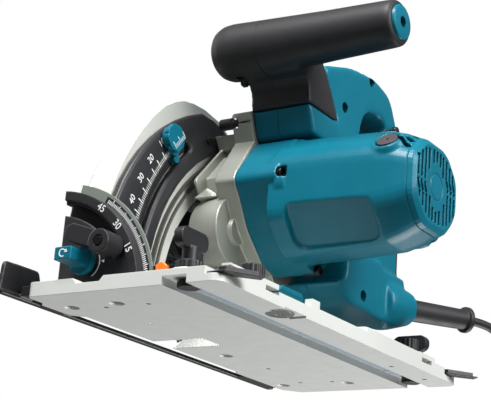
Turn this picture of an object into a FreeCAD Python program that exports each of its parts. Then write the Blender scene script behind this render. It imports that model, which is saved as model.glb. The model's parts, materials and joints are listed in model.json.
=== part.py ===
import FreeCAD, Part

import math
import os
import Sketcher

# Track plunge saw, in millimetres. The origin is the middle of the sole, z = 0 is the sole,
# -Y is the cutting direction, +X is the motor side and +Z is up.

doc = FreeCAD.newDocument("track_plunge_saw")
dims = doc.addObject("Spreadsheet::Sheet", "dims")

SIZES = {
    # sole plate
    "base_wide": 156, "base_long": 341, "base_tall": 10, "base_floor": 5, "rail_groove_from": 33.5,
    "rail_groove_wide": 19, "rail_groove_deep": 5.5, "wall_tall": 13.5, "wall_thick": 7,
    "blade_slot_side": -74, "rule_slot_wide": 16.4, "rule_slot_tall": 3.4, "rule_slot_from": 6.6,
    "skirt_inner": -86, "skirt_wall_tall": 24.5,
    # bevel axis and quadrants
    "bevel_x": -79.5, "bevel_most": 48, "front_face": -144.5, "rear_face": 131.5,
    "quadrant_out": 80, "quadrant_thick": 6, "slot_mid": 67, "slot_wide": 8.4, "clamp_angle": 31,
    "rear_out": 70, "rear_slot_mid": 57, "clamp_bolt": 3.4,
    # blade case and its depth scale
    "blade_side": -91, "cover_seam": -85, "case_motor_side": -63, "case_wall": 3, "case_out": 197,
    "plate_thick": 7, "plate_in": 145, "plate_out": 166.5, "plate_y": 43.5, "plate_z": 29.3,
    "depth_slot_mid": 161.5, "depth_slot_wide": 8, "depth_knob_reach": 178.5,
    "depth_knob": 10.5, "depth_knob_angle": 40.5,
    # plunge linkage and drive
    "pivot_y": 75.5, "pivot_z": 32, "pivot_bolt": 6, "arbor_y": -0.5, "arbor_z": 90,
    "teeth_module": 1, "gear_teeth": 46, "pinion_teeth": 16,
    "blade_dia": 165, "blade_kerf": 2.2, "blade_body": 1.6, "blade_bore": 20, "blade_teeth": 28,
    "boss_out": 26.3, "gear_side": -53, "housing_seam": -18,
    # motor
    "motor_in": 38.5, "fan_room": 30, "motor_step": 18, "motor_end": 122, "vent_thick": 6,
    "shaft": 4, "stator_out": 37.5, "stator_in": 25.5, "armature_out": 24.8,
    # handles
    "grip_y": -25.5, "grip_z": 226, "grip_inner": -40, "grip_outer": 117, "grip_big": 22.5,
    "grip_small": 17.5, "handle_seam": 4, "handle_left": -14, "handle_right": 34,
    # cord
    "guard_big": 9.5, "guard_small": 8.5, "guard_ring": 11, "cord_dia": 7.5, "coil_mid": 43.5,
    "coil_band": 11.5, "coil_tall": 23, "coil_x": 165, "coil_y": 300,
}


class Dim:
    """A size that is both an expression on the sheet and its present value."""

    def __init__(self, text, value):
        self.text = text
        self.value = float(value)

    def join(self, sign, other, value, swap=False):
        pair = (as_dim(other), self) if swap else (self, as_dim(other))
        return Dim(f"({pair[0].text} {sign} {pair[1].text})", value)

    def __add__(self, other):
        return self.join("+", other, self.value + as_dim(other).value)

    def __sub__(self, other):
        return self.join("-", other, self.value - as_dim(other).value)

    def __mul__(self, other):
        return self.join("*", other, self.value * as_dim(other).value)

    def __truediv__(self, other):
        return self.join("/", other, self.value / as_dim(other).value)

    def __radd__(self, other):
        return self.join("+", other, as_dim(other).value + self.value, True)

    def __rsub__(self, other):
        return self.join("-", other, as_dim(other).value - self.value, True)

    def __rmul__(self, other):
        return self.join("*", other, as_dim(other).value * self.value, True)

    def __neg__(self):
        return Dim(f"(0 - {self.text})", -self.value)

    def __float__(self):
        return self.value


def as_dim(number):
    return number if isinstance(number, Dim) else Dim(repr(round(float(number), 6)), number)


class Names:
    pass


D = Names()
for row, (alias, number) in enumerate(SIZES.items(), start=1):
    dims.set(f"A{row}", alias.replace("_", " "))
    dims.set(f"B{row}", str(number))
    dims.setAlias(f"B{row}", alias)
    setattr(D, alias, Dim(f"dims.{alias}", number))
doc.recompute()

used_names = {}


def fresh(stem):
    """A document name that no other object has."""
    used_names[stem] = used_names.get(stem, 0) + 1
    return f"{stem}_{used_names[stem]}"


def bind(thing, prop, amount):
    thing.setExpression(prop, as_dim(amount).text)


# Local frames: u and v are the plane's own axes and w is its normal.
FRAMES = {
    "X": (FreeCAD.Rotation(FreeCAD.Vector(1, 1, 1), 120), ("y", "z", "x"), 1),
    "Y": (FreeCAD.Rotation(FreeCAD.Vector(1, 0, 0), 90), ("x", "z", "y"), -1),
    "Z": (FreeCAD.Rotation(), ("x", "y", "z"), 1),
}


def block(x_span, y_span, z_span):
    """A box between two stations on each axis."""
    thing = doc.addObject("Part::Box", fresh("block"))
    for side, axis, span in (("Length", "x", x_span), ("Width", "y", y_span), ("Height", "z", z_span)):
        bind(thing, side, as_dim(span[1]) - span[0])
        bind(thing, f"Placement.Base.{axis}", span[0])
    return thing


def place_on(thing, axis, centre, low, high, turn=0):
    rotation, names, way = FRAMES[axis]
    thing.Placement = FreeCAD.Placement(
        FreeCAD.Vector(), rotation * FreeCAD.Rotation(FreeCAD.Vector(0, 0, 1), float(as_dim(turn)))
    )
    for name, amount in zip(names, (centre[0], centre[1], low if way > 0 else high)):
        bind(thing, f"Placement.Base.{name}", amount)


def rod(axis, centre, radius, low, high, start=0, sweep=360):
    """A cylinder, or a sector of one from angle start, between two stations on an axis."""
    thing = doc.addObject("Part::Cylinder", fresh("rod"))
    bind(thing, "Radius", radius)
    bind(thing, "Height", as_dim(high) - low)
    thing.Angle = float(as_dim(sweep))
    place_on(thing, axis, centre, low, high, start)
    return thing


def cone(axis, centre, radius_low, radius_high, low, high):
    thing = doc.addObject("Part::Cone", fresh("cone"))
    flip = FRAMES[axis][2] < 0
    bind(thing, "Radius1", radius_high if flip else radius_low)
    bind(thing, "Radius2", radius_low if flip else radius_high)
    bind(thing, "Height", as_dim(high) - low)
    place_on(thing, axis, centre, low, high)
    return thing


def fuse(*things):
    if len(things) == 1:
        return things[0]
    thing = doc.addObject("Part::MultiFuse", fresh("fuse"))
    thing.Shapes = list(things)
    return thing


def cut(solid, *tools):
    thing = doc.addObject("Part::Cut", fresh("cut"))
    thing.Base = solid
    thing.Tool = fuse(*tools)
    return thing


def tube(axis, centre, outer, inner, low, high):
    bore = rod(axis, centre, inner, as_dim(low) - 1, as_dim(high) + 1)
    return cut(rod(axis, centre, outer, low, high), bore)


def arc_band(axis, centre, middle, wide, start, sweep, low, high, ends=True):
    """A curved bar along an arc, with round ends if asked."""
    half = as_dim(wide) / 2
    ring = cut(
        rod(axis, centre, as_dim(middle) + half, low, high, start, sweep),
        rod(axis, centre, as_dim(middle) - half, as_dim(low) - 1, as_dim(high) + 1),
    )
    if not ends:
        return ring
    caps = []
    for angle in (start, start + sweep):
        turn = math.radians(angle)
        spot = (as_dim(centre[0]) + as_dim(middle) * math.cos(turn),
                as_dim(centre[1]) + as_dim(middle) * math.sin(turn))
        caps.append(rod(axis, spot, half, low, high))
    return fuse(ring, *caps)


def sketch_in(body, axis, points, station):
    """A closed outline on one of the body's own origin planes, every corner bound to the sheet."""
    role = {"X": "YZ_Plane", "Y": "XZ_Plane", "Z": "XY_Plane"}[axis]
    plane = [item for item in body.Origin.OriginFeatures if item.Role == role][0]
    sketch = body.newObject("Sketcher::SketchObject", fresh("sketch"))
    sketch.AttachmentSupport = (plane, [""])
    sketch.MapMode = "FlatFace"
    way = FRAMES[axis][2]
    bind(sketch, "AttachmentOffset.Base.z", as_dim(station) * way)
    corners = [(as_dim(u), as_dim(v)) for u, v in points]
    count = len(corners)
    for number in range(count):
        here, there = corners[number], corners[(number + 1) % count]
        sketch.addGeometry(Part.LineSegment(
            FreeCAD.Vector(here[0].value, here[1].value, 0), FreeCAD.Vector(there[0].value, there[1].value, 0)
        ))
    for number in range(count):
        sketch.addConstraint(Sketcher.Constraint("Coincident", number, 2, (number + 1) % count, 1))
    for number, corner in enumerate(corners):
        for kind, amount in (("DistanceX", corner[0]), ("DistanceY", corner[1])):
            which = sketch.addConstraint(Sketcher.Constraint(kind, -1, 1, number, 1, amount.value))
            if "dims." in amount.text:
                sketch.setExpression(f"Constraints[{which}]", amount.text)
    return sketch


def plate(axis, points, low, high, rounds=()):
    """A PartDesign body: an outline padded along an axis, with some corners rounded."""
    body = doc.addObject("PartDesign::Body", fresh("body"))
    way = FRAMES[axis][2]
    sketch = sketch_in(body, axis, points, low if way > 0 else high)
    pad = body.newObject("PartDesign::Pad", fresh("pad"))
    pad.Profile = sketch
    bind(pad, "Length", as_dim(high) - low)
    doc.recompute()
    index = {"X": (1, 2), "Y": (0, 2), "Z": (0, 1)}[axis]
    base = pad
    for corners, radius in rounds:
        edges = []
        for number, edge in enumerate(base.Shape.Edges, start=1):
            if len(edge.Vertexes) != 2:
                continue
            spots = [tuple(vertex.Point)[i] for vertex in edge.Vertexes for i in index]
            for corner in corners:
                u, v = float(as_dim(points[corner][0])), float(as_dim(points[corner][1]))
                gaps = (spots[0] - u, spots[1] - v, spots[2] - u, spots[3] - v)
                if max(abs(gap) for gap in gaps) < 0.001:
                    edges.append(f"Edge{number}")
        fillet = body.newObject("PartDesign::Fillet", fresh("fillet"))
        fillet.Base = (base, edges)
        bind(fillet, "Radius", radius)
        doc.recompute()
        base = fillet
    body.Tip = base
    return body


def loft(axis, sections, ruled=True):
    """A PartDesign body lofted through outlines at stations along an axis."""
    body = doc.addObject("PartDesign::Body", fresh("body"))
    sketches = [sketch_in(body, axis, points, station) for station, points in sections]
    skin = body.newObject("PartDesign::AdditiveLoft", fresh("loft"))
    skin.Profile = sketches[0]
    skin.Sections = sketches[1:]
    skin.Ruled = ruled
    doc.recompute()
    body.Tip = skin
    return body


def soft_edges(solid, radius, keep):
    """Rounds the edges of a solid whose middle passes the test."""
    doc.recompute()
    thing = doc.addObject("Part::Fillet", fresh("rounded"))
    thing.Base = solid
    chosen = [n for n, edge in enumerate(solid.Shape.Edges, start=1) if keep(edge)]
    thing.Edges = [(n, float(as_dim(radius)), float(as_dim(radius))) for n in chosen]
    return thing


def ring_points(count, centre, radius, start=0):
    turns = [math.radians(start + 360 * number / count) for number in range(count)]
    return [(as_dim(centre[0]) + as_dim(radius) * math.cos(turn),
             as_dim(centre[1]) + as_dim(radius) * math.sin(turn)) for turn in turns]


parts = {}


def piece(name, thing):
    """Names the finished sub-part: its Label is its file's name."""
    thing.Label = name
    parts[name] = thing
    return thing


# Where things turn, in each one's own plane.
SPIN = {"bevel": (D.bevel_x, 0), "pivot": (D.pivot_y, D.pivot_z), "arbor": (D.arbor_y, D.arbor_z)}
CENTRES = (D.gear_teeth + D.pinion_teeth) * D.teeth_module / 2
DRIVE_LEAN = 49.28
MOTOR = (
    D.arbor_y + CENTRES * math.cos(math.radians(DRIVE_LEAN)),
    D.arbor_z + CENTRES * math.sin(math.radians(DRIVE_LEAN)),
)
HALF = D.base_long / 2
SIDE = D.base_wide / 2
FRONT_KNOB = (43, -155.5)
REAR_KNOB = (43, 155.5)
RULE_STATIONS = (-110.5, 114.5)
RULE_SCREW_X = 62
BOLT_FRONT = (
    D.bevel_x + D.slot_mid * math.cos(math.radians(SIZES["clamp_angle"])),
    D.slot_mid * math.sin(math.radians(SIZES["clamp_angle"])),
)
BOLT_REAR = (
    D.bevel_x + D.rear_slot_mid * math.cos(math.radians(SIZES["clamp_angle"])),
    D.rear_slot_mid * math.sin(math.radians(SIZES["clamp_angle"])),
)
STOP_KNOB = (-46, 26.5)
COUNTERSUNK = ((-66.2, -136.5), (-26.6, -137.9), (-47.8, 25.9), (-65.9, 140.1), (-5.4, 140.7))
SMALL_HOLES = ((-41.3, -130.9), (-5.7, -130.9), (-41, -81.3), (-40.9, 76.1), (-45, 132.1), (-15.8, 133.8),
               (60.8, 114.6 - 25), (63.7, 140))
DISC = (65.7, -80.5)


def base_pieces():
    """The sole plate and what is fixed to it."""
    outline = [
        (-SIDE, -HALF), (SIDE, -HALF), (SIDE, HALF), (-SIDE + 12, HALF), (-SIDE, HALF - 12),
        (-SIDE, 85.5), (D.blade_slot_side, 81.5), (D.blade_slot_side, -110.5), (-83, -118.5),
        (-83, -148.5), (-SIDE, -153.5),
    ]
    floor = plate("Z", outline, 0, D.base_tall, [([1, 2], 9), ([0], 5)])
    wall_from = SIDE - D.wall_thick
    walls = [
        block((wall_from, SIDE), span, (D.base_tall, top))
        for span, top in (((-160, -106), D.wall_tall), ((-60, -50), D.wall_tall + 1.5),
                          ((20, 128), D.wall_tall - 0.5))
    ]
    pads = [block((34, SIDE), (y - 13, y + 13), (D.base_tall, D.wall_tall)) for y in RULE_STATIONS]
    lugs = [rod("Z", spot, 11, D.base_tall, 12) for spot in (FRONT_KNOB, REAR_KNOB)]
    feet = [block((-70, 2), span, (D.base_tall, 11)) for span in ((-153, -128), (124, 146))]
    solid = fuse(floor, *walls, *pads, *lugs, *feet)
    roof = D.base_floor
    pockets = [block((-28, 26), (-118, -44), (roof, 20)), block((-28, 26), (4, 118), (roof, 20)),
               block((-66, -34), (-118, -56), (roof, 20)), block((-66, -34), (36, 118), (roof, 20))]
    groove = block((D.rail_groove_from, D.rail_groove_from + D.rail_groove_wide),
                   (-HALF - 1, HALF + 1), (-1, D.rail_groove_deep))
    rule_slots = [
        block((22, SIDE + 1), (y - D.rule_slot_wide / 2, y + D.rule_slot_wide / 2),
              (D.rule_slot_from, D.rule_slot_from + D.rule_slot_tall))
        for y in RULE_STATIONS
    ]
    screw_bores = [rod("Z", (RULE_SCREW_X, y), 3.05, 9, 20) for y in RULE_STATIONS]
    knob_bores = [rod("Z", spot, 4.05, 4, 20) for spot in (FRONT_KNOB, REAR_KNOB)]
    notch = rod("X", (-20, 27.5), 30, -76, -30)
    lever_dip = block((wall_from - 6, SIDE + 1), (-103, -62), (9, 20))
    lever_well = block((51, 72), (-103, -18), (5.6, 20))
    tongue_slits = [block((50, 66), span, (1.4, 4.2)) for span in ((-58, -39), (-35, -16))]
    tongue_well = block((53.8, 68), (-64, -14), (1.4, 20))
    disc_well = fuse(rod("Z", DISC, 10, -1, 2.2), block((DISC[0], SIDE + 1), (-94, -67), (-1, 1.2)))
    lever_pin = rod("Z", DISC, 3.05, -1, 12)
    front_dip = plate("Y", [(-41, 12), (-36, 6.4), (-17, 6.4), (-12, 12), (-12, 20), (-41, 20)],
                      -HALF - 1, -158)
    heads = [cone("Z", spot, 5.5, 2.6, -0.01, 3) for spot in COUNTERSUNK]
    shanks = [rod("Z", spot, 2.5, -1, 12) for spot in COUNTERSUNK]
    bores = [rod("Z", spot, 1.9, -1, 9) for spot in SMALL_HOLES]
    corner_wells = [block((66, SIDE + 1), span, (5, 12)) for span in ((-171, -153), (146, 164))]
    piece("base_plate", cut(
        solid, *pockets, groove, *rule_slots, *screw_bores, *knob_bores, notch, lever_dip, lever_well,
        *tongue_slits, tongue_well, disc_well, lever_pin, front_dip, *heads, *shanks, *bores, *corner_wells))

    strip = block((D.skirt_inner - 6, D.skirt_inner), (-178.5, 156.5), (0.2, 3))
    tall = plate("X", [(-185.5, 2), (-140, 2), (-148, D.skirt_wall_tall), (-183, D.skirt_wall_tall - 1)],
                 D.skirt_inner - 6, D.skirt_inner - 3, [([2, 3], 4)])
    lip = block((D.skirt_inner - 6, D.skirt_inner), (-185.5, -178.5), (0.2, 3))
    ties = [block((D.skirt_inner, -83), (-146, -122), (0.2, 8)),
            block((D.skirt_inner, -SIDE), (100, 150), (0.2, 3)),
            block((D.skirt_inner, -SIDE), (-168, -155), (2, 9))]
    piece("side_skirt", fuse(strip, tall, lip, *ties))

    front = D.front_face
    rim_face = front - D.quadrant_thick - 2
    for name, out, slot, low, high, rim_low, rim_high in (
        ("front_quadrant", D.quadrant_out, D.slot_mid, front - D.quadrant_thick, front, rim_face, front),
        ("rear_quadrant", D.rear_out, D.rear_slot_mid, D.rear_face, D.rear_face + D.quadrant_thick,
         D.rear_face, D.rear_face + D.quadrant_thick + 2),
    ):
        sector = rod("Y", SPIN["bevel"], out, low, high, 0, 97)
        rim = arc_band("Y", SPIN["bevel"], out - 3.5, 7, 0, 97, rim_low, rim_high, False)
        trim = fuse(block((-60, 20), (-200, 200), (-1, 11)), block((-120, -70), (-200, 200), (-1, 120)))
        window = arc_band("Y", SPIN["bevel"], slot, D.slot_wide, SIZES["clamp_angle"] - 0.5,
                          SIZES["bevel_most"] + 1.6, as_dim(low) - 5, as_dim(high) + 5)
        low_trim = block((-71, -59), (-200, 200), (-1, 11))
        body = cut(fuse(sector, rim), trim, low_trim, window)
        if name == "front_quadrant":
            seat = rod("Y", STOP_KNOB, 5.1, front - 20, front + 1)
            body = cut(body, seat)
        piece(name, body)
    piece("angle_scale", cut(
        arc_band("Y", SPIN["bevel"], 80.5, 13, 8.4, 70, front, front + 1.6, False),
        block((-60, 20), (-200, 0), (-1, 11))))
    piece("glide_strips", fuse(
        block((36, 50), (-145.5, -138), (D.rail_groove_deep - 0.8, D.rail_groove_deep)),
        block((36, 50), (-136.5, 122), (D.rail_groove_deep - 0.8, D.rail_groove_deep)),
        block((36, 50), (123.5, 144), (D.rail_groove_deep - 0.8, D.rail_groove_deep))))
    leaves, caps = [], []
    for y_from, way in ((-170, 1), (147, 1)):
        lean = [(66.5, y_from + 1), (66.5, y_from + 11), (74, y_from + 11), (90, y_from + 27 * way),
                (96, y_from + 22 * way), (80, y_from + 1)]
        leaves.append(plate("Z", lean, 5.4, 6.6))
        inset = [(74, y_from + 3), (74, y_from + 10.5), (88, y_from + 25), (92, y_from + 21.4),
                 (79, y_from + 3)]
        caps.append(plate("Z", inset, 6.6, 9.6))
    piece("corner_leaves", fuse(*leaves, *caps))
    screws = []
    for spot in COUNTERSUNK:
        driver = block((spot[0] - 3, spot[0] + 3), (spot[1] - 0.5, spot[1] + 0.5), (0, 1.6))
        head = cut(cone("Z", spot, 4.7, 2.4, 0.8, 3), driver)
        screws.append(fuse(head, rod("Z", spot, 2.4, 2.9, 10)))
    disc = cut(rod("Z", DISC, 9.7, 0.3, 2.2), rod("Z", DISC, 4, -1, 1.4))
    retainer = fuse(disc, rod("Z", DISC, 3, 2.1, 12))
    cross = [block((DISC[0] - a, DISC[0] + a), (DISC[1] - b, DISC[1] + b), (0, 1))
             for a, b in ((2.4, 0.45), (0.45, 2.4))]
    piece("sole_screws", fuse(*screws, retainer, cut(rod("Z", DISC, 3.8, 0.4, 1.4), *cross)))


def base_controls():
    """Knobs, screws and levers that move on the sole plate."""
    x, z = STOP_KNOB
    grip = block((x - 7, x + 7), (-176, -157.5), (z - 4.5, z + 4.5))
    shank = rod("Y", STOP_KNOB, 5, -153.1, -145)
    piece("stop_knob", fuse(rod("Y", STOP_KNOB, 10, -157.5, -153), shank, grip))
    for side, spot in (("front", FRONT_KNOB), ("rear", REAR_KNOB)):
        cam = rod("Z", (spot[0] + 1.0, spot[1]), 7.6, 0.5, 4.6)
        stem = rod("Z", spot, 4, 4.6, 14)
        ring = rod("Z", spot, 9, 12.4, 18)
        flutes = [rod("Z", point, 1.3, 12, 18.5) for point in ring_points(12, spot, 9.6)]
        neck = rod("Z", spot, 5.5, 18, 28)
        wing = plate("Y" if side == "rear" else "X",
                     [(-15, 26), (15, 26), (15, 39), (-15, 39)], -3.4, 3.4, [([0, 1, 2, 3], 6.2)])
        wing.Placement = FreeCAD.Placement(FreeCAD.Vector(spot[0], spot[1], 0), FreeCAD.Rotation())
        piece(f"{side}_rail_knob", fuse(cam, stem, cut(ring, *flutes), neck, wing))
    for side, y in zip(("front", "rear"), RULE_STATIONS):
        spot = (RULE_SCREW_X, y)
        shank = rod("Z", spot, 3, D.rule_slot_from + D.rule_slot_tall + 0.2, 15)
        head = rod("Z", spot, 8, D.wall_tall + 0.6, 26)
        flutes = [rod("Z", point, 1.5, 12, 27) for point in ring_points(14, spot, 8.9)]
        piece(f"{side}_rule_screw", fuse(shank, cut(head, *flutes)))
    slider = block((60, 76.5), (-101, -70), (9.3, 11.6))
    tab = plate("X", [(-101, 11.6), (-70, 11.6), (-74, 15.2), (-97, 15.2)], 70.5, 77.5)
    slot = block((DISC[0] - 3.3, DISC[0] + 3.3), (-95, -76), (5, 20))
    piece("slide_lever", cut(fuse(slider, tab), slot))
    fingers = [block((54.4, 60), span, (1.7, 3.9)) for span in ((-57, -40), (-34, -17))]
    piece("anti_tip_tongue", fuse(*fingers, block((57.2, 62), (-60, -16), (1.7, 5.4))))


def case_outline(inset, low=19):
    """The blade case seen from the side: an arc about the plunge pivot, then down the rear."""
    reach = SIZES["case_out"] - inset
    start = math.degrees(math.asin((low - SIZES["pivot_z"]) / reach))
    arc = [math.radians(start + (47 - start) * step / 10) for step in range(11)]
    front = [(D.pivot_y - (D.case_out - inset) * math.cos(a), D.pivot_z + (D.case_out - inset) * math.sin(a))
             for a in arc]
    rear = [(-46 + inset / 3, 184.2 - inset), (-35.5 + inset / 4, 188.6 - inset), (-23, 190.8 - inset),
            (-8, 191.3 - inset), (14 - inset / 3, 188 - inset), (44.5 - inset * 0.75, 173 - inset * 0.75),
            (74.5 - inset, 140 - inset / 3), (90.5 - inset, 100), (93.5 - inset, 60), (93.5 - inset, low)]
    return front + rear


def tilt_pieces():
    """The tilting frame: blade case, its scale, the yokes and what they carry."""
    pivot = SPIN["pivot"]
    outer = case_outline(0)
    inner = case_outline(SIZES["case_wall"], 9)
    piece("case_cover", cut(plate("X", outer, D.blade_side, D.cover_seam),
                            plate("X", inner, D.blade_side + D.case_wall, D.cover_seam + 1)))
    case_block = plate("X", outer, D.cover_seam, D.case_motor_side)
    hollow = plate("X", inner, D.cover_seam - 1, D.case_motor_side - D.case_wall)
    kidney = arc_band("X", pivot, 95.6, 48, 128, 66, D.case_motor_side - 10, D.case_motor_side + 5)
    pivot_bore = rod("X", pivot, D.pivot_bolt, -100, -40)
    port_bore = rod("Y", (-78, 117), 15, 60, 110)
    low_mouth = block((-100, D.case_motor_side - D.case_wall), (-100, 88), (10, 22))
    boss = rod("X", pivot, 11, D.cover_seam, D.case_motor_side + 2)
    shell = fuse(cut(case_block, hollow), boss)
    piece("blade_case", cut(shell, kidney, pivot_bore, port_bore, low_mouth))
    port = fuse(tube("Y", (-78, 117), 17.5, 14.6, 92, 124), tube("Y", (-78, 117), 14.9, 13, 84, 94))
    piece("dust_port", cut(port, plate("X", outer, -100, -50)))

    rim = [math.radians(184 - step * 6) for step in range(13)]
    edge = [(D.plate_y + D.plate_out * math.cos(a), D.plate_z + D.plate_out * math.sin(a)) for a in rim]
    edge += [(-4, 183.4), (9, 180.6), (24, 174), (36, 163.5), (39, 153)]
    hoop = [math.radians(118 + step * 6.5) for step in range(11)]
    edge += [(D.pivot_y + D.plate_in * math.cos(a), D.pivot_z + D.plate_in * math.sin(a)) for a in hoop]
    black = plate("X", edge, D.case_motor_side, D.case_motor_side + D.plate_thick)
    window = arc_band("X", pivot, D.depth_slot_mid, D.depth_slot_wide, 133.5, 46,
                      D.case_motor_side - 5, D.case_motor_side + 20)
    piece("depth_plate", cut(black, window))

    envelope = rod("X", pivot, D.case_out, -120, 40)
    yoke_back = D.front_face + 13
    yoke = arc_band("Y", SPIN["bevel"], 54, 46, 9, 76, D.front_face + 3, yoke_back, False)
    arm = block((-40, 32), (D.front_face + 3, yoke_back), (13, 23))
    link = block((-72, D.case_motor_side), (yoke_back - 6, -105), (15, 62))
    bolt_hole = rod("Y", BOLT_FRONT, D.clamp_bolt, D.front_face, yoke_back + 1)
    low = block((-100, 60), (-150, -100), (0, 12.5))
    lever_hole = rod("Y", (24, 18), 2.55, -150, -120)
    piece("front_yoke", cut(fuse(yoke, arm, link), envelope, bolt_hole, lever_hole, low))
    rear_low = D.rear_face - 3
    rear_yoke = arc_band("Y", SPIN["bevel"], 50, 36, 9, 76, rear_low - 10, rear_low, False)
    rear_link = block((-86, -56), (93.5, rear_low - 8), (15, 56))
    rear_hole = rod("Y", BOLT_REAR, D.clamp_bolt, rear_low - 12, rear_low + 1)
    rear_under = block((-100, 60), (90, 140), (0, 12.5))
    piece("rear_yoke", cut(fuse(rear_yoke, rear_link), rear_hole, rear_under))
    piece("bevel_pointer", plate("Y", [(8.6, 13.5), (17, 13.5), (17, 21), (12, 24.5), (7, 22)],
                                 D.front_face + 0.2, D.front_face + 3))
    bolts = [fuse(rod("Y", BOLT_FRONT, D.clamp_bolt, -170, yoke_back),
                  rod("Y", BOLT_FRONT, 7, yoke_back, yoke_back + 4)),
             fuse(rod("Y", BOLT_REAR, D.clamp_bolt, rear_low - 10, 157),
                  rod("Y", BOLT_REAR, 7, rear_low - 14, rear_low - 10))]
    pivot_bolt = fuse(rod("X", pivot, D.pivot_bolt, D.cover_seam, -16), rod("X", pivot, 9, -16, -12))
    screws = []
    for spot in ((-8.8, 164), (22, 162)):
        screws.append(rod("X", spot, 3.5, D.case_motor_side + D.plate_thick,
                          D.case_motor_side + D.plate_thick + 1.6))
    screws += [rod("X", spot, 4, D.blade_side - 1.6, D.blade_side) for spot in
               ((-60, 150), (10, 179), (80, 100), (-104, 60), (84, 40))]
    piece("frame_bolts", fuse(*bolts, pivot_bolt, *screws))
    piece("return_spring", tube("X", pivot, 14, 11.6, D.case_motor_side + 2.6, D.case_motor_side + 9.6))

    piece("release_lever", fuse(
        plate("X", [(-130.5, 14), (-128, 14), (-124, 24), (-124, 34), (-129, 36), (-130.5, 26)],
              17, 31, [([3, 4], 2)]),
        rod("Y", (24, 18), 2.5, -141, -130)))
    hub = tube("Y", BOLT_FRONT, 8.5, D.clamp_bolt + 0.05, -170, D.front_face - D.quadrant_thick - 2.4)
    arm_front = plate("Y", [(0, -6), (-26, 2), (-31, 6), (-30, 13), (-24, 15), (0, 7)],
                      -168.5, -159, [([2, 3], 2.5)])
    arm_front.Placement = FreeCAD.Placement(
        FreeCAD.Vector(BOLT_FRONT[0].value, 0, BOLT_FRONT[1].value), FreeCAD.Rotation())
    piece("front_clamp_lever", fuse(hub, cut(arm_front, rod("Y", BOLT_FRONT, 7, -180, -150))))
    hub = tube("Y", BOLT_REAR, 8.5, D.clamp_bolt + 0.05, D.rear_face + D.quadrant_thick + 2.4, 157)
    arm_rear = plate("Y", [(0, -6), (-24, 2), (-28, 8), (-24, 12), (0, 7)], 146, 155, [([2, 3], 2)])
    arm_rear.Placement = FreeCAD.Placement(
        FreeCAD.Vector(BOLT_REAR[0].value, 0, BOLT_REAR[1].value), FreeCAD.Rotation())
    piece("rear_clamp_lever", fuse(hub, cut(arm_rear, rod("Y", BOLT_REAR, 7, 130, 170))))


def depth_stop_pieces():
    """The depth stop that slides along the curved slot and its clamping knob."""
    pivot = SPIN["pivot"]
    turn = math.radians(180 - SIZES["depth_knob_angle"])
    face = D.case_motor_side + D.plate_thick
    spot = (D.pivot_y + D.depth_knob_reach * math.cos(turn), D.pivot_z + D.depth_knob_reach * math.sin(turn))
    rest = (D.pivot_y + D.depth_slot_mid * math.cos(turn), D.pivot_z + D.depth_slot_mid * math.sin(turn))
    middle = (D.pivot_y + 170 * math.cos(turn), D.pivot_z + 170 * math.sin(turn))
    shoe = fuse(rod("X", spot, 9, face + 0.3, face + 3), rod("X", middle, 8, face + 0.3, face + 3),
                rod("X", rest, 6.5, face + 0.3, face + 3))
    nut = rod("X", rest, 3.7, D.case_motor_side + 0.4, face + 0.3)
    piece("depth_slider", cut(fuse(shoe, nut), rod("X", spot, 2.05, -70, -40)))
    piece("depth_knob", fuse(
        cut(rod("X", spot, D.depth_knob, face + 3.3, face + 7.5),
            *[rod("X", point, 1.6, face, face + 9) for point in ring_points(8, spot, 11.4)]),
        rod("X", spot, 2, face + 0.6, face + 3.5)))


def aimed(kind, start, aim, reach, radius, radius_end=None):
    """A cylinder or cone from a point along any direction."""
    thing = doc.addObject(f"Part::{kind}", fresh("aimed"))
    if kind == "Cone":
        bind(thing, "Radius1", radius)
        bind(thing, "Radius2", radius_end)
    else:
        bind(thing, "Radius", radius)
    bind(thing, "Height", reach)
    turn = FreeCAD.Rotation(FreeCAD.Vector(0, 0, 1), FreeCAD.Vector(*aim))
    thing.Placement = FreeCAD.Placement(FreeCAD.Vector(*[float(as_dim(number)) for number in start]), turn)
    return thing


FLANGE = [(-12, 185), (30, 185), (36, 161.2), (61, 161.2), (61.2, 113), (60, 75), (42.5, 62), (21.5, 68),
          (-2.5, 89), (-15.5, 109), (-25.5, 122), (-23.5, 129), (-2, 161)]
MOTOR_FLANGE = [(1.5, 161), (61, 161), (61.2, 113), (60, 75), (42.5, 62), (21.5, 68), (-2.5, 89),
                (-15.5, 109), (-25.5, 122), (-23.5, 129)]


def motor_ring(half_wide, half_tall, corner):
    """An eight-sided section about the motor axis."""
    y, z = MOTOR
    return [(y - half_wide, z - half_tall + corner), (y - half_wide + corner, z - half_tall),
            (y + half_wide - corner, z - half_tall), (y + half_wide, z - half_tall + corner),
            (y + half_wide, z + half_tall - corner), (y + half_wide - corner, z + half_tall),
            (y - half_wide + corner, z + half_tall), (y - half_wide, z + half_tall - corner)]


QUICK_STOP = (-5, 177)
MOTOR_SCREWS = ((-19, 125), (44, 66.5))
BRUSH_TURN = math.radians(138)
BRUSH_AIM = (0, math.cos(BRUSH_TURN), math.sin(BRUSH_TURN))
BRUSH_X = 103


def brush_rods(radius, near, far):
    """The pair of radial cylinders in which the brushes sit."""
    pair = []
    for way in (1, -1):
        aim = tuple(number * way for number in BRUSH_AIM)
        start = (BRUSH_X, MOTOR[0].value + aim[1] * near, MOTOR[1].value + aim[2] * near)
        pair.append(aimed("Cylinder", start, aim, far - near, radius))
    return pair


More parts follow.
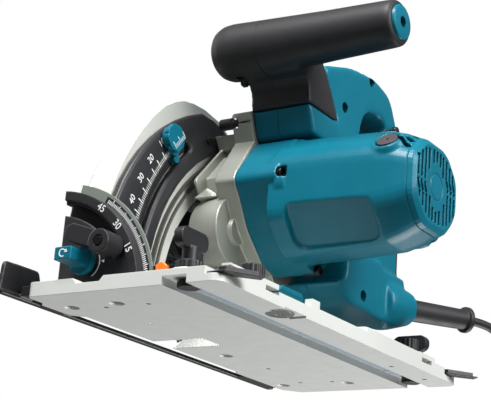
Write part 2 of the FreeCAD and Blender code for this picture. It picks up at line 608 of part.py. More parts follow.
def gearbox_pieces():
    """The gear housing that swings on the pivot, and its bearings."""
    arbor, pivot = SPIN["arbor"], SPIN["pivot"]
    boss = rod("X", arbor, D.boss_out, D.gear_side, -30)
    lobe = rod("X", MOTOR, 14, D.gear_side, -30)
    flange = plate("X", FLANGE, -36, D.housing_seam, [([0], 5), ([10, 11], 4)])
    arm = plate("X", [(36, 64), (61, 100), (88, 38), (84, 22), (66, 22)], -42, D.housing_seam)
    hub = rod("X", pivot, 13, -42, -16.4)
    solid = fuse(boss, lobe, flange, arm, hub)
    hollows = [
        rod("X", arbor, 24.4, D.gear_side - 1, -38), rod("X", MOTOR, 9.6, -50.5, -38),
        rod("X", arbor, 9, -39, -28), rod("X", MOTOR, 11, -39, -27), rod("X", MOTOR, 5.5, -28, -10),
        rod("X", pivot, 8, -50, -10), rod("X", QUICK_STOP, 3.05, -40, -20),
        rod("X", QUICK_STOP, 4.9, -37, -30.5),
        rod("X", MOTOR, D.fan_room, D.housing_seam - 3, D.housing_seam + 1),
        rod("X", (24, 150), 8, -37, -24), rod("X", (4, 74), 5, -31.9, -31),
    ]
    piece("gear_housing", cut(solid, *hollows))
    piece("bearing_plate", tube("X", arbor, 24.2, 13, D.gear_side - 3.5, -50.2))
    piece("bearings", fuse(
        tube("X", arbor, 12.9, 7.56, D.gear_side - 3, -50.4), tube("X", arbor, 8.9, 5.06, -37.8, -28.2),
        tube("X", MOTOR, 10.9, 4.06, -37, -28.2), tube("X", MOTOR, 9.4, 4.06, 108, 115),
        tube("X", pivot, 7.9, D.pivot_bolt + 0.06, -42, -16.4)))
    piece("quick_stop_button", fuse(rod("X", QUICK_STOP, 3, -37, -27),
                                    rod("X", QUICK_STOP, 4.6, -47.6, -36.6)))


def motor_pieces():
    """The motor housing, its end cover and what it holds."""
    seam, step, end = D.housing_seam, D.motor_step, D.motor_end
    flange = plate("X", MOTOR_FLANGE, seam, step, [([8, 9], 4)])
    body = loft("X", [(step, motor_ring(41.4, 46, 24)), (106, motor_ring(39, 42, 22)),
                      (end, motor_ring(36, 34, 18))])
    bore = rod("X", MOTOR, D.motor_in, step + 1, 104)
    back = rod("X", MOTOR, 28, 103, end + 1)
    mouth = rod("X", MOTOR, D.fan_room, seam - 1, step + 2)
    screws = [rod("X", spot, 4.2, step - 12, step + 6) for spot in MOTOR_SCREWS]
    side_vents = []
    for angle in (60, 78, 150, 168, 240, 258, 330, 348):
        aim = (0, math.cos(math.radians(angle)), math.sin(math.radians(angle)))
        start = (112, MOTOR[0].value + aim[1] * 20, MOTOR[1].value + aim[2] * 20)
        side_vents.append(aimed("Cylinder", start, aim, 30, 2.4))
    brush_bores = brush_rods(8.3, 18, 60)
    piece("motor_housing", cut(fuse(flange, body), bore, back, mouth, *screws, *side_vents, *brush_bores))
    vent = loft("X", [(end, motor_ring(36, 34, 18)), (end + D.vent_thick, motor_ring(32, 29, 16))])
    slots = [block((end - 1, end + D.vent_thick + 1), (MOTOR[0] + gap - 1.3, MOTOR[0] + gap + 1.3),
                   (MOTOR[1] - reach, MOTOR[1] + reach))
             for gap, reach in ((-22, 16), (-16, 22), (-10, 25), (10, 25), (16, 22), (22, 16))]
    cup = rod("X", MOTOR, 24, end - 1, end + 2.5)
    piece("vent_cover", cut(vent, *slots, cup))
    piece("stator", fuse(tube("X", MOTOR, D.stator_out, D.stator_in, 24, 76),
                         tube("X", MOTOR, 35, 27, 19.5, 24), tube("X", MOTOR, 35, 27, 76, 83)))
    caps = [cut(rod_one, slot) for rod_one, slot in zip(brush_rods(8, 35, 43.6), brush_rods(1.2, 42.4, 50))]
    piece("brush_caps", fuse(*caps))
    sleeves = [cut(a, b) for a, b in zip(brush_rods(5.5, 15, 34.8), brush_rods(3.1, 14, 40))]
    piece("brushes", fuse(*brush_rods(3, 13.3, 26), *sleeves))
    heads = []
    for spot in MOTOR_SCREWS:
        head = rod("X", spot, 4, step - 11.8, step + 3)
        heads.append(cut(head, rod("X", spot, 1.8, step + 1, step + 4)))
    for spot in HANDLE_SCREWS:
        heads.append(fuse(rod("X", spot, 1.9, -7, 27), rod("X", spot, 4, 27, 31)))
    heads.append(rod("X", TRIGGER_PIN, 1.5, 2.6, 17.4))
    piece("housing_screws", fuse(*heads))


OPENING = [(71.5, 102), (90, 91), (121, 93), (124, 150), (119.5, 200), (108, 213), (80, 208), (71.5, 190)]
HANDLE = [(36, 183.2), (21.5, 205), (9, 221), (53.5, 236), (91.5, 241), (119.5, 235), (134.5, 210),
          (147.5, 170), (157.5, 120), (159.5, 75), (151.5, 48), (129.5, 44), (69.5, 46), (46, 60.5),
          (61.6, 62.5), (61.6, 161.5), (36, 161.5)]
HANDLE_SCREWS = ((44.5, 198), (86, 235), (89, 57), (128, 199))
TRIGGER_PIN = (124.5, 187)
GUARD_FROM = (22, 135.5, 62)
GUARD_TO = (62, 219.5, 66)


def handle_pieces():
    """Front grip, rear handle with its switch, and the cord guard."""
    grip = (D.grip_y, D.grip_z)
    slope = (SIZES["grip_small"] - SIZES["grip_big"]) / (SIZES["grip_outer"] - SIZES["grip_inner"])
    seam_out = SIZES["grip_big"] + slope * (SIZES["handle_seam"] - SIZES["grip_inner"])
    neck = [(-44, 214), (-20, 201), (-1, 183.2), (35.8, 183.2), (21.3, 205), (8.8, 221), (-6, 236),
            (-24, 240)]
    left = soft_edges(cone("X", grip, D.grip_big, seam_out, D.grip_inner, D.handle_seam), 9,
                      lambda edge: edge.BoundBox.XMax < -39.9)
    left_neck = plate("X", neck, D.housing_seam, D.handle_seam)
    piece("front_grip_left", cut(fuse(left, left_neck), rod("X", grip, 12, -20, D.handle_seam + 1)))
    right = soft_edges(cone("X", grip, seam_out, D.grip_small, D.handle_seam, D.grip_outer), 2.5,
                       lambda edge: edge.BoundBox.XMin > 116)
    right_neck = plate("X", neck, D.handle_seam, D.handle_right)
    wrench = rod("X", grip, 4.3, 48, 130)
    hollow = rod("X", grip, 12, D.handle_seam - 1, 46)
    piece("front_grip_right", cut(fuse(right, right_neck), hollow, wrench, rod("X", grip, 13.6, 115, 130)))
    piece("grip_cap", cut(rod("X", grip, 13.5, 115, 119), wrench))

    guard_aim = tuple(b - a for a, b in zip(GUARD_FROM, GUARD_TO))
    reach = math.dist(GUARD_FROM, GUARD_TO)
    point = [a + (b - a) * 0.1 for a, b in zip(GUARD_FROM, GUARD_TO)]
    socket = aimed("Cylinder", point, guard_aim, 24, 13)
    halves = (("left", D.handle_left, D.handle_seam), ("right", D.handle_seam, D.handle_right))
    for side, low, high in halves:
        shell = plate("X", HANDLE, low, high)
        collar = plate("X", [(1.7, 161.2), (35.9, 161.2), (35.9, 183), (-1, 183)],
                       D.housing_seam if side == "left" else low, high)
        whole = fuse(shell, collar)
        if side == "right":
            whole = fuse(whole, cut(socket, block((-50, D.handle_seam), (100, 250), (0, 120))))
        span = (D.handle_left + 3, D.handle_right - 3)
        window = plate("X", OPENING, -30, 50, [([4, 5, 6, 7], 6)])
        column = plate("X", [(127, 194), (132, 198), (143, 165), (151, 118), (153, 84), (146, 54),
                             (128, 52), (124, 86), (128, 150)], *span)
        beam = plate("X", [(42, 205), (58, 228), (92, 232), (112, 228), (112, 220), (80, 214),
                           (64, 197)], *span)
        duct = aimed("Cylinder", GUARD_FROM, guard_aim, reach, 9.7)
        trigger_slot = block((2.6, 17.4), (110, 136), (148, 193))
        core = plate("X", [(131, 208), (144, 169), (154, 120), (155.4, 80), (100, 80), (100, 208)], -30, 60)
        skin_cut = cut(plate("X", HANDLE, -7, 27), core, block((-50, 60), (0, 125), (0, 300)),
                       block((-50, 60), (0, 200), (0, 88)), block((-50, 60), (0, 200), (206, 300)))
        bolts = [rod("X", spot, 2, -8, 29) for spot in HANDLE_SCREWS]
        heads = [rod("X", spot, 4.2, 27, 40) for spot in HANDLE_SCREWS]
        dial = rod("X", (106, 226), 13, 5.5, 12.5)
        lock = rod("X", (127.5, 207), 4.05, 20, 40)
        piece(f"handle_{side}", cut(whole, window, column, beam, duct, trigger_slot, skin_cut,
                                    dial, lock, *bolts, *heads))
    skin = cut(plate("X", HANDLE, -6.9, 26.9), core, block((-50, 60), (0, 125), (0, 300)),
               block((-50, 60), (0, 200), (0, 88.1)), block((-50, 60), (0, 200), (205.9, 300)))
    piece("rear_grip_rubber", skin)
    guard = aimed("Cone", GUARD_FROM, guard_aim, reach - 4, D.guard_big, D.guard_small)
    tip = [a + (b - a) * (reach - 4) / reach for a, b in zip(GUARD_FROM, GUARD_TO)]
    ring = aimed("Cylinder", tip, guard_aim, 4, D.guard_ring)
    inside = [a + (b - a) * (reach - 14) / reach for a, b in zip(GUARD_FROM, GUARD_TO)]
    mouth = aimed("Cone", inside, guard_aim, 14.1, 4.2, 7.4)
    piece("cord_guard", cut(fuse(guard, ring), mouth))
    piece("switch_body", block((-4, 24), (130, 141), (118, 146)))
    piece("trigger", cut(
        plate("X", [(127.5, 190), (119, 190), (112.5, 178), (112, 166), (116, 152), (124, 151),
                    (128, 160)], 3.2, 16.8, [([2, 3, 4], 3)]),
        rod("X", TRIGGER_PIN, 1.55, 0, 20)))
    piece("lock_off_button", rod("X", (127.5, 207), 4, 25, 37))
    piece("speed_dial", rod("X", (106, 226), 12.5, 6, 12))


def drive_pieces():
    """Blade, spindle and gear on the arbor, and the armature with its pinion."""
    arbor = SPIN["arbor"]
    blade_x = D.bevel_x
    half = D.blade_body / 2
    disc = rod("X", arbor, D.blade_dia / 2 - 1.4, blade_x - half, blade_x + half)
    gullets = []
    step = 360 / SIZES["blade_teeth"]
    rim = SIZES["blade_dia"] / 2
    for number in range(SIZES["blade_teeth"]):
        root = math.radians(number * step)
        spot = (D.arbor_y + (rim - 4) * math.cos(root), D.arbor_z + (rim - 4) * math.sin(root))
        gullets.append(rod("X", spot, 3.1, blade_x - 3, blade_x + 3))
    toothed = cut(disc, rod("X", arbor, D.blade_bore / 2, -90, -70), *gullets)
    tips = []
    for number in range(SIZES["blade_teeth"]):
        root = math.radians((number + 0.32) * step)
        spot = (D.arbor_y + (rim - 2.4) * math.cos(root), D.arbor_z + (rim - 2.4) * math.sin(root))
        tip = doc.addObject("Part::Box", fresh("tip"))
        bind(tip, "Length", D.blade_kerf)
        bind(tip, "Width", 2.4)
        bind(tip, "Height", 1.6)
        turn = FreeCAD.Rotation(FreeCAD.Vector(1, 0, 0), math.degrees(root))
        tip.Placement = FreeCAD.Placement(
            FreeCAD.Vector(SIZES["bevel_x"] - SIZES["blade_kerf"] / 2, spot[0].value, spot[1].value), turn)
        tips.append(tip)
    piece("saw_blade", fuse(toothed, *tips))
    inner = blade_x + half
    outer = blade_x - half
    bolt = fuse(rod("X", arbor, 6.5, outer - 6.4, outer - 3), rod("X", arbor, 4, outer - 3, -72))
    piece("blade_clamp", fuse(
        tube("X", arbor, 20, 7.55, inner, -73.4), tube("X", arbor, 9.9, 7.55, outer, inner),
        tube("X", arbor, 18, 4.1, outer - 3, outer), cut(bolt, rod("X", arbor, 2.6, outer - 8, outer - 4.4))))
    spindle = fuse(rod("X", arbor, 7.5, -78, -38), rod("X", arbor, 5, -38.1, -28.4))
    piece("spindle", cut(spindle, rod("X", arbor, 4.05, -90, -71.9)))
    for name, centre, teeth, bore, low, high in (
        ("drive_gear", arbor, D.gear_teeth, 7.52, -49.5, -39.5),
        ("pinion", MOTOR, D.pinion_teeth, 0, -49.3, -39.7),
    ):
        count = int(teeth.value)
        pitch = float(D.teeth_module * teeth / 2)
        outer_r, root_r = pitch + 0.75, pitch - 1.05
        outline = []
        lean = math.radians(DRIVE_LEAN) + (math.pi if name == "pinion" else 0)
        for number in range(count):
            middle = lean + 2 * math.pi * (number + (0.5 if name == "pinion" else 0)) / count
            for radius, side in ((root_r, -0.86), (outer_r, -0.34), (outer_r, 0.34), (root_r, 0.86)):
                angle = middle + side / pitch
                outline.append(FreeCAD.Vector(low, centre[0].value + radius * math.cos(angle),
                                              centre[1].value + radius * math.sin(angle)))
        face = Part.Face(Part.makePolygon(outline + outline[:1]))
        wheel = doc.addObject("Part::Feature", fresh("toothed"))
        wheel.Shape = face.extrude(FreeCAD.Vector(high - low, 0, 0))
        if name == "pinion":
            piece("pinion_shaft", fuse(wheel, rod("X", MOTOR, D.shaft, -49.3, 117)))
        else:
            piece(name, cut(wheel, rod("X", centre, bore, low - 1, high + 1)))
    fan = tube("X", MOTOR, D.fan_room - 1.2, 4.02, -12, -1)
    channels = []
    for number in range(12):
        angle = 30 * number
        sector = rod("X", MOTOR, D.fan_room - 3.5, -9.5, 0, angle, 22)
        channels.append(cut(sector, rod("X", MOTOR, 12, -10, 1)))
    piece("fan", cut(fan, *channels))
    core = tube("X", MOTOR, D.armature_out, 4.02, 26, 74)
    slots = [rod("X", point, 1.6, 25, 75) for point in ring_points(12, MOTOR, 24.2)]
    windings = [tube("X", MOTOR, 18, 4.02, 16, 26), tube("X", MOTOR, 18, 4.02, 74, 84)]
    bars = [block((90, 108), (MOTOR[0] + 12.2, MOTOR[0] + 15), (MOTOR[1] - 0.3, MOTOR[1] + 0.3))]
    piece("armature", fuse(cut(core, *slots), *windings, cut(tube("X", MOTOR, 13, 4.02, 92, 107), *bars)))


CORD_ROUTE = [
    GUARD_TO, (71, 238.4, 66.9), (79.7, 256, 57.2), (87.8, 270, 41), (96, 284, 24), (106, 298, 10.5),
    (115, 309.5, 4.4), (127, 320, 4.4),
]


def cord_pieces():
    """The mains cord: straight runs joined by tangent arcs, then one closed ring for its coil."""
    path_points = [FreeCAD.Vector(*point) for point in CORD_ROUTE]
    edges, start, length, radii = [], path_points[0], 0, []
    for number in range(1, len(path_points) - 1):
        before, here, after = path_points[number - 1:number + 2]
        into, out = here - before, after - here
        turn = into.getAngle(out)
        short = min(into.Length, out.Length)
        cut_back = 0.45 * short
        radii.append(cut_back / math.tan(turn / 2))
        into.normalize()
        out.normalize()
        first, last = here - into * cut_back, here + out * cut_back
        bisector = out - into
        bisector.normalize()
        centre = here + bisector * (radii[-1] / math.cos(turn / 2))
        middle = centre - bisector * radii[-1]
        edges.append(Part.LineSegment(start, first).toShape())
        edges.append(Part.Arc(first, middle, last).toShape())
        start = last
    edges.append(Part.LineSegment(start, path_points[-1]).toShape())
    path = Part.Wire(edges)
    radius = SIZES["cord_dia"] / 2
    ring = Part.Wire(Part.makeCircle(radius, path_points[0], path_points[1] - path_points[0]))
    solid = path.makePipeShell([ring], True, False)
    print("cord radii", [round(number, 1) for number in radii], "length", round(path.Length, 1))
    print("cord volume ratio", round(solid.Volume / (math.pi * radius ** 2 * path.Length), 4))
    cord = doc.addObject("Part::Feature", "cord_tube")
    cord.Shape = solid
    half = D.coil_band
    centre = (D.coil_x, D.coil_y)
    coil = tube("Z", centre, D.coil_mid + half, D.coil_mid - half, 0.1, D.coil_tall)
    piece("cord", cut(cord, coil, rod("Z", centre, D.coil_mid - half + 1, 0, D.coil_tall)))
    piece("cord_coil", coil)
    plug_x, plug_y = D.coil_x - D.coil_mid, D.coil_y + 15
    body = block((plug_x - 14, plug_x + 14), (plug_y - 19, plug_y + 19),
                 (D.coil_tall + 0.1, D.coil_tall + 16))
    tail = rod("Y", (plug_x, D.coil_tall + 8), 5.5, plug_y - 35, plug_y - 19)
    pins = [rod("Y", (plug_x + gap, D.coil_tall + 8), 2.4, plug_y + 19, plug_y + 38) for gap in (-9.5, 9.5)]
    piece("mains_plug", fuse(body, tail, *pins))


base_pieces()
base_controls()
tilt_pieces()
depth_stop_pieces()
gearbox_pieces()
motor_pieces()
handle_pieces()
drive_pieces()
cord_pieces()
doc.recompute()

faults = [item.Name for item in doc.Objects if "Invalid" in item.State or "Error" in item.State]
if faults:
    raise RuntimeError(f"failed objects: {faults}")
os.makedirs("parts", exist_ok=True)
for name, thing in parts.items():
    shape = thing.Shape
    if shape.isNull() or not shape.isValid() or not shape.Solids:
        raise RuntimeError(f"{name} is not a valid solid")
    shape.exportStep(f"parts/{name}.step")
print(len(parts), "sub-parts")
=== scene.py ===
import json
import math

import bmesh
import bpy
from mathutils import Matrix, Vector


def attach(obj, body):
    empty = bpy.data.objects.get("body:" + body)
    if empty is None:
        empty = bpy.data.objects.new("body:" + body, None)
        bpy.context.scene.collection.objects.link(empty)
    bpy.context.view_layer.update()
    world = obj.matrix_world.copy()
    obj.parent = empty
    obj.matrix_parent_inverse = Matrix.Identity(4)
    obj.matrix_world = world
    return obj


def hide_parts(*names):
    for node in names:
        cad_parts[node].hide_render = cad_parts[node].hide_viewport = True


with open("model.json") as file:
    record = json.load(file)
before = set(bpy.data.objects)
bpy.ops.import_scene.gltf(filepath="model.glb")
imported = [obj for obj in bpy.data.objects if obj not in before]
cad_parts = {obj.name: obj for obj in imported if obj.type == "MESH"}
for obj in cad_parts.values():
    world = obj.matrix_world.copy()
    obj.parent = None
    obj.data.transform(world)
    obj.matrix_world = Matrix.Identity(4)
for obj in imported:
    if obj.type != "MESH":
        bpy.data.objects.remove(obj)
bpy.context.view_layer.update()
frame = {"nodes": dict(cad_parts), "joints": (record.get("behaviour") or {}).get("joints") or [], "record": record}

# Track plunge saw: the looks, in metres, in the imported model's own frame.
# -Y is the cutting direction, +X is the motor side, +Z is up from the sole.

MM = 0.001
NODES = frame["nodes"]
JOINTS = {joint["name"]: joint for joint in frame["joints"]}
BODY_OF = {node: body for body, members in frame["record"]["behaviour"]["bodies"].items()
           for node in members}
SLOT_OF = {part["node"]: part["material_slot"] for part in frame["record"]["subparts"]}
PIVOT = Vector(JOINTS["plunge"]["pos_m"])
ARBOR = Vector(JOINTS["arbor_spin"]["pos_m"])
MOTOR = Vector(JOINTS["armature_spin"]["pos_m"])
BEVEL = Vector(JOINTS["bevel_tilt"]["pos_m"])
PIVOT_AT = (PIVOT.y / MM, PIVOT.z / MM)
MOTOR_MID = (MOTOR.y / MM, MOTOR.z / MM)
CAMERA_AT = (0.5673, -0.8713, -0.2189)
CAMERA_RIGHT = (0.83832, 0.54023, 0.07328)
CAMERA_UP = (0.10532, -0.29236, 0.95049)


# ---------------------------------------------------------------- camera, light, floor

def make_camera():
    """A long lens low in front of the motor side, looking up at the sole."""
    data = bpy.data.cameras.new("camera")
    data.sensor_width = 36
    data.lens = 106.0
    camera = bpy.data.objects.new("camera", data)
    right, up = Vector(CAMERA_RIGHT), Vector(CAMERA_UP)
    back = right.cross(up)
    turn = Matrix((right, up, back)).transposed().to_4x4()
    camera.matrix_world = Matrix.Translation(Vector(CAMERA_AT)) @ turn
    bpy.context.scene.collection.objects.link(camera)
    bpy.context.scene.camera = camera
    data.clip_start = 0.05
    data.clip_end = 50


def make_light(name, place, aim, size, power):
    """A rectangular lamp that faces a point."""
    data = bpy.data.lights.new(name, "AREA")
    data.shape = "RECTANGLE"
    data.size, data.size_y = size
    data.energy = power
    light = bpy.data.objects.new(name, data)
    light.location = place
    light.rotation_euler = (Vector(aim) - Vector(place)).to_track_quat("-Z", "Y").to_euler()
    bpy.context.scene.collection.objects.link(light)


def make_stage():
    """White paper behind, five lamps, and a floor that is clear from below."""
    bpy.context.scene.view_settings.view_transform = "Standard"
    world = bpy.data.worlds.new("studio")
    bpy.context.scene.world = world
    world.use_nodes = True
    tree = world.node_tree
    sky = tree.nodes["Background"]
    sky.inputs["Color"].default_value = (1, 1, 1, 1)
    sky.inputs["Strength"].default_value = 0.15
    paper = tree.nodes.new("ShaderNodeBackground")
    paper.inputs["Strength"].default_value = 1.0
    ray = tree.nodes.new("ShaderNodeLightPath")
    choice = tree.nodes.new("ShaderNodeMixShader")
    tree.links.new(ray.outputs["Is Camera Ray"], choice.inputs[0])
    tree.links.new(sky.outputs[0], choice.inputs[1])
    tree.links.new(paper.outputs[0], choice.inputs[2])
    paper.inputs["Color"].default_value = (1, 1, 1, 1)
    tree.links.new(choice.outputs[0], tree.nodes["World Output"].inputs["Surface"])
    middle = (0, 0, 0.1)
    make_light("key", (0.1, -1.1, 1.8), middle, (1.0, 0.7), 80)
    make_light("side", (1.7, -0.1, 0.9), middle, (1.0, 1.0), 48)
    make_light("under", (0.1, 1.2, -1.4), middle, (1.4, 1.0), 34)
    make_light("rear", (-1.2, 1.3, 1.2), middle, (1.2, 0.6), 8)
    make_light("left", (-1.5, -0.4, 0.9), middle, (0.8, 1.2), 8)
    mesh = bpy.data.meshes.new("floor")
    reach = 6
    level = -0.0006
    mesh.from_pydata([(-reach, -reach, level), (reach, -reach, level), (reach, reach, level),
                      (-reach, reach, level)], [], [(0, 1, 2, 3)])
    floor = bpy.data.objects.new("floor", mesh)
    bpy.context.scene.collection.objects.link(floor)
    floor.visible_shadow = False
    floor.visible_diffuse = False
    floor.visible_glossy = False
    paint = bpy.data.materials.new("floor_paint")
    paint.use_nodes = True
    tree = paint.node_tree
    shader = tree.nodes["Principled BSDF"]
    shader.inputs["Base Color"].default_value = (0.82, 0.82, 0.81, 1)
    shader.inputs["Roughness"].default_value = 0.7
    clear = tree.nodes.new("ShaderNodeBsdfTransparent")
    mix = tree.nodes.new("ShaderNodeMixShader")
    side = tree.nodes.new("ShaderNodeNewGeometry")
    tree.links.new(side.outputs["Backfacing"], mix.inputs[0])
    tree.links.new(shader.outputs[0], mix.inputs[1])
    tree.links.new(clear.outputs[0], mix.inputs[2])
    tree.links.new(mix.outputs[0], tree.nodes["Material Output"].inputs["Surface"])
    mesh.materials.append(paint)


# ---------------------------------------------------------------- materials

def finish(name, colour, rough, metal=0.0, grain=2600, depth=0.05, mottle=0.06, coat=0.0, brushed=None,
           soft_edge=0.0, gleam=0.36):
    """A procedural surface: moulded or cast grain, faint mottling, uneven gloss and handling marks."""
    made = bpy.data.materials.new(name)
    made.use_nodes = True
    tree = made.node_tree
    nodes, links = tree.nodes, tree.links
    shader = nodes["Principled BSDF"]
    place = nodes.new("ShaderNodeTexCoord")
    stretch = nodes.new("ShaderNodeMapping")
    stretch.inputs["Scale"].default_value = brushed or (1, 1, 1)
    links.new(place.outputs["Object"], stretch.inputs["Vector"])
    blotch = nodes.new("ShaderNodeTexNoise")
    blotch.inputs["Scale"].default_value = 38
    blotch.inputs["Detail"].default_value = 5
    links.new(stretch.outputs[0], blotch.inputs["Vector"])
    tint = nodes.new("ShaderNodeMix")
    tint.data_type = "RGBA"
    links.new(blotch.outputs["Fac"], tint.inputs["Factor"])
    dark = [max(0.0, channel * (1 - mottle)) for channel in colour]
    light = [min(1.0, channel * (1 + mottle) + 0.004) for channel in colour]
    tint.inputs["A"].default_value = (*dark, 1)
    tint.inputs["B"].default_value = (*light, 1)
    links.new(tint.outputs["Result"], shader.inputs["Base Color"])
    gloss = nodes.new("ShaderNodeMapRange")
    gloss.inputs["To Min"].default_value = rough * 0.82
    gloss.inputs["To Max"].default_value = min(1.0, rough * 1.2)
    smear = nodes.new("ShaderNodeTexNoise")
    smear.inputs["Scale"].default_value = 90
    smear.inputs["Detail"].default_value = 3
    links.new(stretch.outputs[0], smear.inputs["Vector"])
    links.new(smear.outputs["Fac"], gloss.inputs["Value"])
    links.new(gloss.outputs[0], shader.inputs["Roughness"])
    shader.inputs["Metallic"].default_value = metal
    shader.inputs["Coat Weight"].default_value = coat
    shader.inputs["Coat Roughness"].default_value = 0.25
    shader.inputs["Specular IOR Level"].default_value = gleam
    fine = nodes.new("ShaderNodeTexNoise")
    fine.inputs["Scale"].default_value = grain
    fine.inputs["Detail"].default_value = 2
    links.new(stretch.outputs[0], fine.inputs["Vector"])
    bump = nodes.new("ShaderNodeBump")
    bump.inputs["Strength"].default_value = 0.35
    bump.inputs["Distance"].default_value = depth * MM
    links.new(fine.outputs["Fac"], bump.inputs["Height"])
    if soft_edge:
        edge = nodes.new("ShaderNodeBevel")
        edge.samples = 6
        edge.inputs["Radius"].default_value = soft_edge * MM
        links.new(edge.outputs[0], bump.inputs["Normal"])
    links.new(bump.outputs[0], shader.inputs["Normal"])
    return made


TEAL = (0.001, 0.125, 0.185)
PAINTS = {
    "cast_sole": finish("sole_casting", (0.66, 0.68, 0.65), 0.40, 0.1, 1500, 0.06, 0.03, soft_edge=0.5),
    "cast_case": finish("case_lacquer", (0.60, 0.61, 0.57), 0.34, 0.2, 1800, 0.03, 0.04, 0.2, soft_edge=0.4),
    "cast_gear": finish("gear_case_lacquer", (0.34, 0.35, 0.31), 0.33, 0.4, 1300, 0.07, 0.06, 0.15,
                        soft_edge=0.5),
    "teal_plastic": finish("teal_nylon", TEAL, 0.32, 0, 2400, 0.05, 0.10, 0, soft_edge=0.5, gleam=0.22),
    "black_plastic": finish("black_nylon", (0.014, 0.014, 0.016), 0.42, 0, 2200, 0.05, 0.10, soft_edge=0.4),
    "black_rubber": finish("black_elastomer", (0.015, 0.015, 0.017), 0.52, 0, 3200, 0.08, 0.08,
                           soft_edge=0.6),
    "grey_rubber": finish("grey_elastomer", (0.045, 0.038, 0.042), 0.55, 0, 3000, 0.08, 0.08, soft_edge=0.4),
    "orange_plastic": finish("orange_acetal", (0.87, 0.19, 0.02), 0.35, 0, 2600, 0.03, 0.05, 0.2,
                             soft_edge=0.3),
    "glide_film": finish("glide_strip_film", (0.36, 0.44, 0.52), 0.28, 0, 900, 0.03, 0.05),
    "steel": finish("ground_steel", (0.50, 0.50, 0.51), 0.26, 1, 600, 0.03, 0.05, 0, (1, 1, 14),
                    soft_edge=0.2),
    "dark_steel": finish("black_oxide", (0.02, 0.02, 0.022), 0.32, 0.8, 1500, 0.03, 0.08, soft_edge=0.3),
    "scale_metal": finish("anodised_scale", (0.30, 0.34, 0.30), 0.34, 0.55, 1800, 0.03, 0.05, soft_edge=0.2),
    "spring_steel": finish("spring_wire", (0.55, 0.55, 0.57), 0.2, 1, 900, 0.02, 0.04),
    "copper": finish("enamelled_copper", (0.45, 0.16, 0.06), 0.3, 0.9, 400, 0.1, 0.15, 0.3, (1, 8, 8)),
    "carbon": finish("carbon_block", (0.03, 0.03, 0.03), 0.6, 0.1, 1200, 0.05, 0.1),
    "cord_pvc": finish("cord_sheath", (0.012, 0.012, 0.013), 0.48, 0, 2600, 0.05, 0.08),
}
WHITE_INK = finish("white_ink", (0.78, 0.79, 0.78), 0.5, 0, 2000, 0.02, 0.02)
# Painted shade: a dark copy of the case lacquer, used on the case rings to stand for the shade over their grooves.
PAINTED_SHADE_CAST = finish("painted_shade_casting", (0.10, 0.103, 0.09), 0.4, 0.3, 1500, 0.05, 0.06, soft_edge=0.3)
# Painted shade: a near-black paint for sheets put behind slots where only shade is seen.
PAINTED_SHADE_BLACK = finish("painted_shade_black", (0.006, 0.006, 0.007), 0.7, 0, 1500, 0.03, 0.05)


# ---------------------------------------------------------------- mesh tools, all in millimetres

def add_piece(name, mesh, body, slot, nodes=(), paint=None):
    """Links a finished mesh, gives it its paint and lets it ride on its body."""
    piece = bpy.data.objects.new(name, mesh)
    bpy.context.scene.collection.objects.link(piece)
    mesh.materials.clear()
    mesh.materials.append(paint or PAINTS[slot])
    mesh.shade_smooth()
    mesh.set_sharp_from_angle(angle=math.radians(38))
    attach(piece, body)
    if nodes:
        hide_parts(*nodes)
    return piece


def loose(name, mesh):
    thing = bpy.data.objects.new(name, mesh)
    bpy.context.scene.collection.objects.link(thing)
    return thing


def settled(thing):
    """The mesh of an object with its modifiers applied, and the object gone."""
    graph = bpy.context.evaluated_depsgraph_get()
    graph.update()
    mesh = bpy.data.meshes.new_from_object(thing.evaluated_get(graph))
    old = thing.data
    bpy.data.objects.remove(thing)
    if old.users == 0 and isinstance(old, bpy.types.Mesh):
        bpy.data.meshes.remove(old)
    return mesh


def build(verts, faces):
    mesh = bpy.data.meshes.new("shape")
    mesh.from_pydata([tuple(number * MM for number in vert) for vert in verts], [], faces)
    work = bmesh.new()
    work.from_mesh(mesh)
    bmesh.ops.recalc_face_normals(work, faces=work.faces)
    work.to_mesh(mesh)
    work.free()
    return mesh


def boolean(mesh, cutters, how="DIFFERENCE", crossing=False):
    """Cuts or adds closed meshes, one after another; crossing is for a cutter that crosses itself."""
    if not cutters:
        return mesh
    thing = loose("body_work", mesh)
    tools = []
    for number, cutter in enumerate(cutters):
        tool = loose(f"tool_{number}", cutter)
        tools.append(tool)
        step = thing.modifiers.new(f"cut_{number}", "BOOLEAN")
        step.operation = how
        step.solver = "EXACT"
        step.use_self = crossing
        step.object = tool
    result = settled(thing)
    for tool in tools:
        old = tool.data
        bpy.data.objects.remove(tool)
        bpy.data.meshes.remove(old)
    return result


def rounded(mesh, width, segments=2, angle=32):
    """Bevels the hard edges."""
    work = bmesh.new()
    work.from_mesh(mesh)
    bmesh.ops.dissolve_limit(work, angle_limit=math.radians(0.6), verts=work.verts, edges=work.edges)
    work.to_mesh(mesh)
    work.free()
    thing = loose("edge_work", mesh)
    step = thing.modifiers.new("edge", "BEVEL")
    step.width = width * MM
    step.segments = segments
    step.limit_method = "ANGLE"
    step.angle_limit = math.radians(angle)
    return settled(thing)


def softened(mesh, voxel, rounds, factor=0.5):
    """Remeshes and smooths, so that sharp edges become moulded or cast ones."""
    thing = loose("soft_work", mesh)
    step = thing.modifiers.new("voxels", "REMESH")
    step.mode = "VOXEL"
    step.voxel_size = voxel * MM
    ease = thing.modifiers.new("ease", "SMOOTH")
    ease.factor = factor
    ease.iterations = rounds
    return settled(thing)


def joined(meshes):
    work = bmesh.new()
    for mesh in meshes:
        work.from_mesh(mesh)
    mesh = bpy.data.meshes.new("joined")
    work.to_mesh(mesh)
    work.free()
    return mesh


def node_mesh(*names):
    """A welded copy of some CAD nodes' meshes."""
    work = bmesh.new()
    for name in names:
        work.from_mesh(NODES[name].data)
    bmesh.ops.remove_doubles(work, verts=work.verts, dist=2e-6)
    mesh = bpy.data.meshes.new("copy")
    work.to_mesh(mesh)
    work.free()
    return mesh


def on_axis(axis, u, v, w):
    """A point from in-plane u, v and station w: X planes are (y, z), Y planes (x, z), Z planes (x, y)."""
    return {"X": (w, u, v), "Y": (u, w, v), "Z": (u, v, w)}[axis]


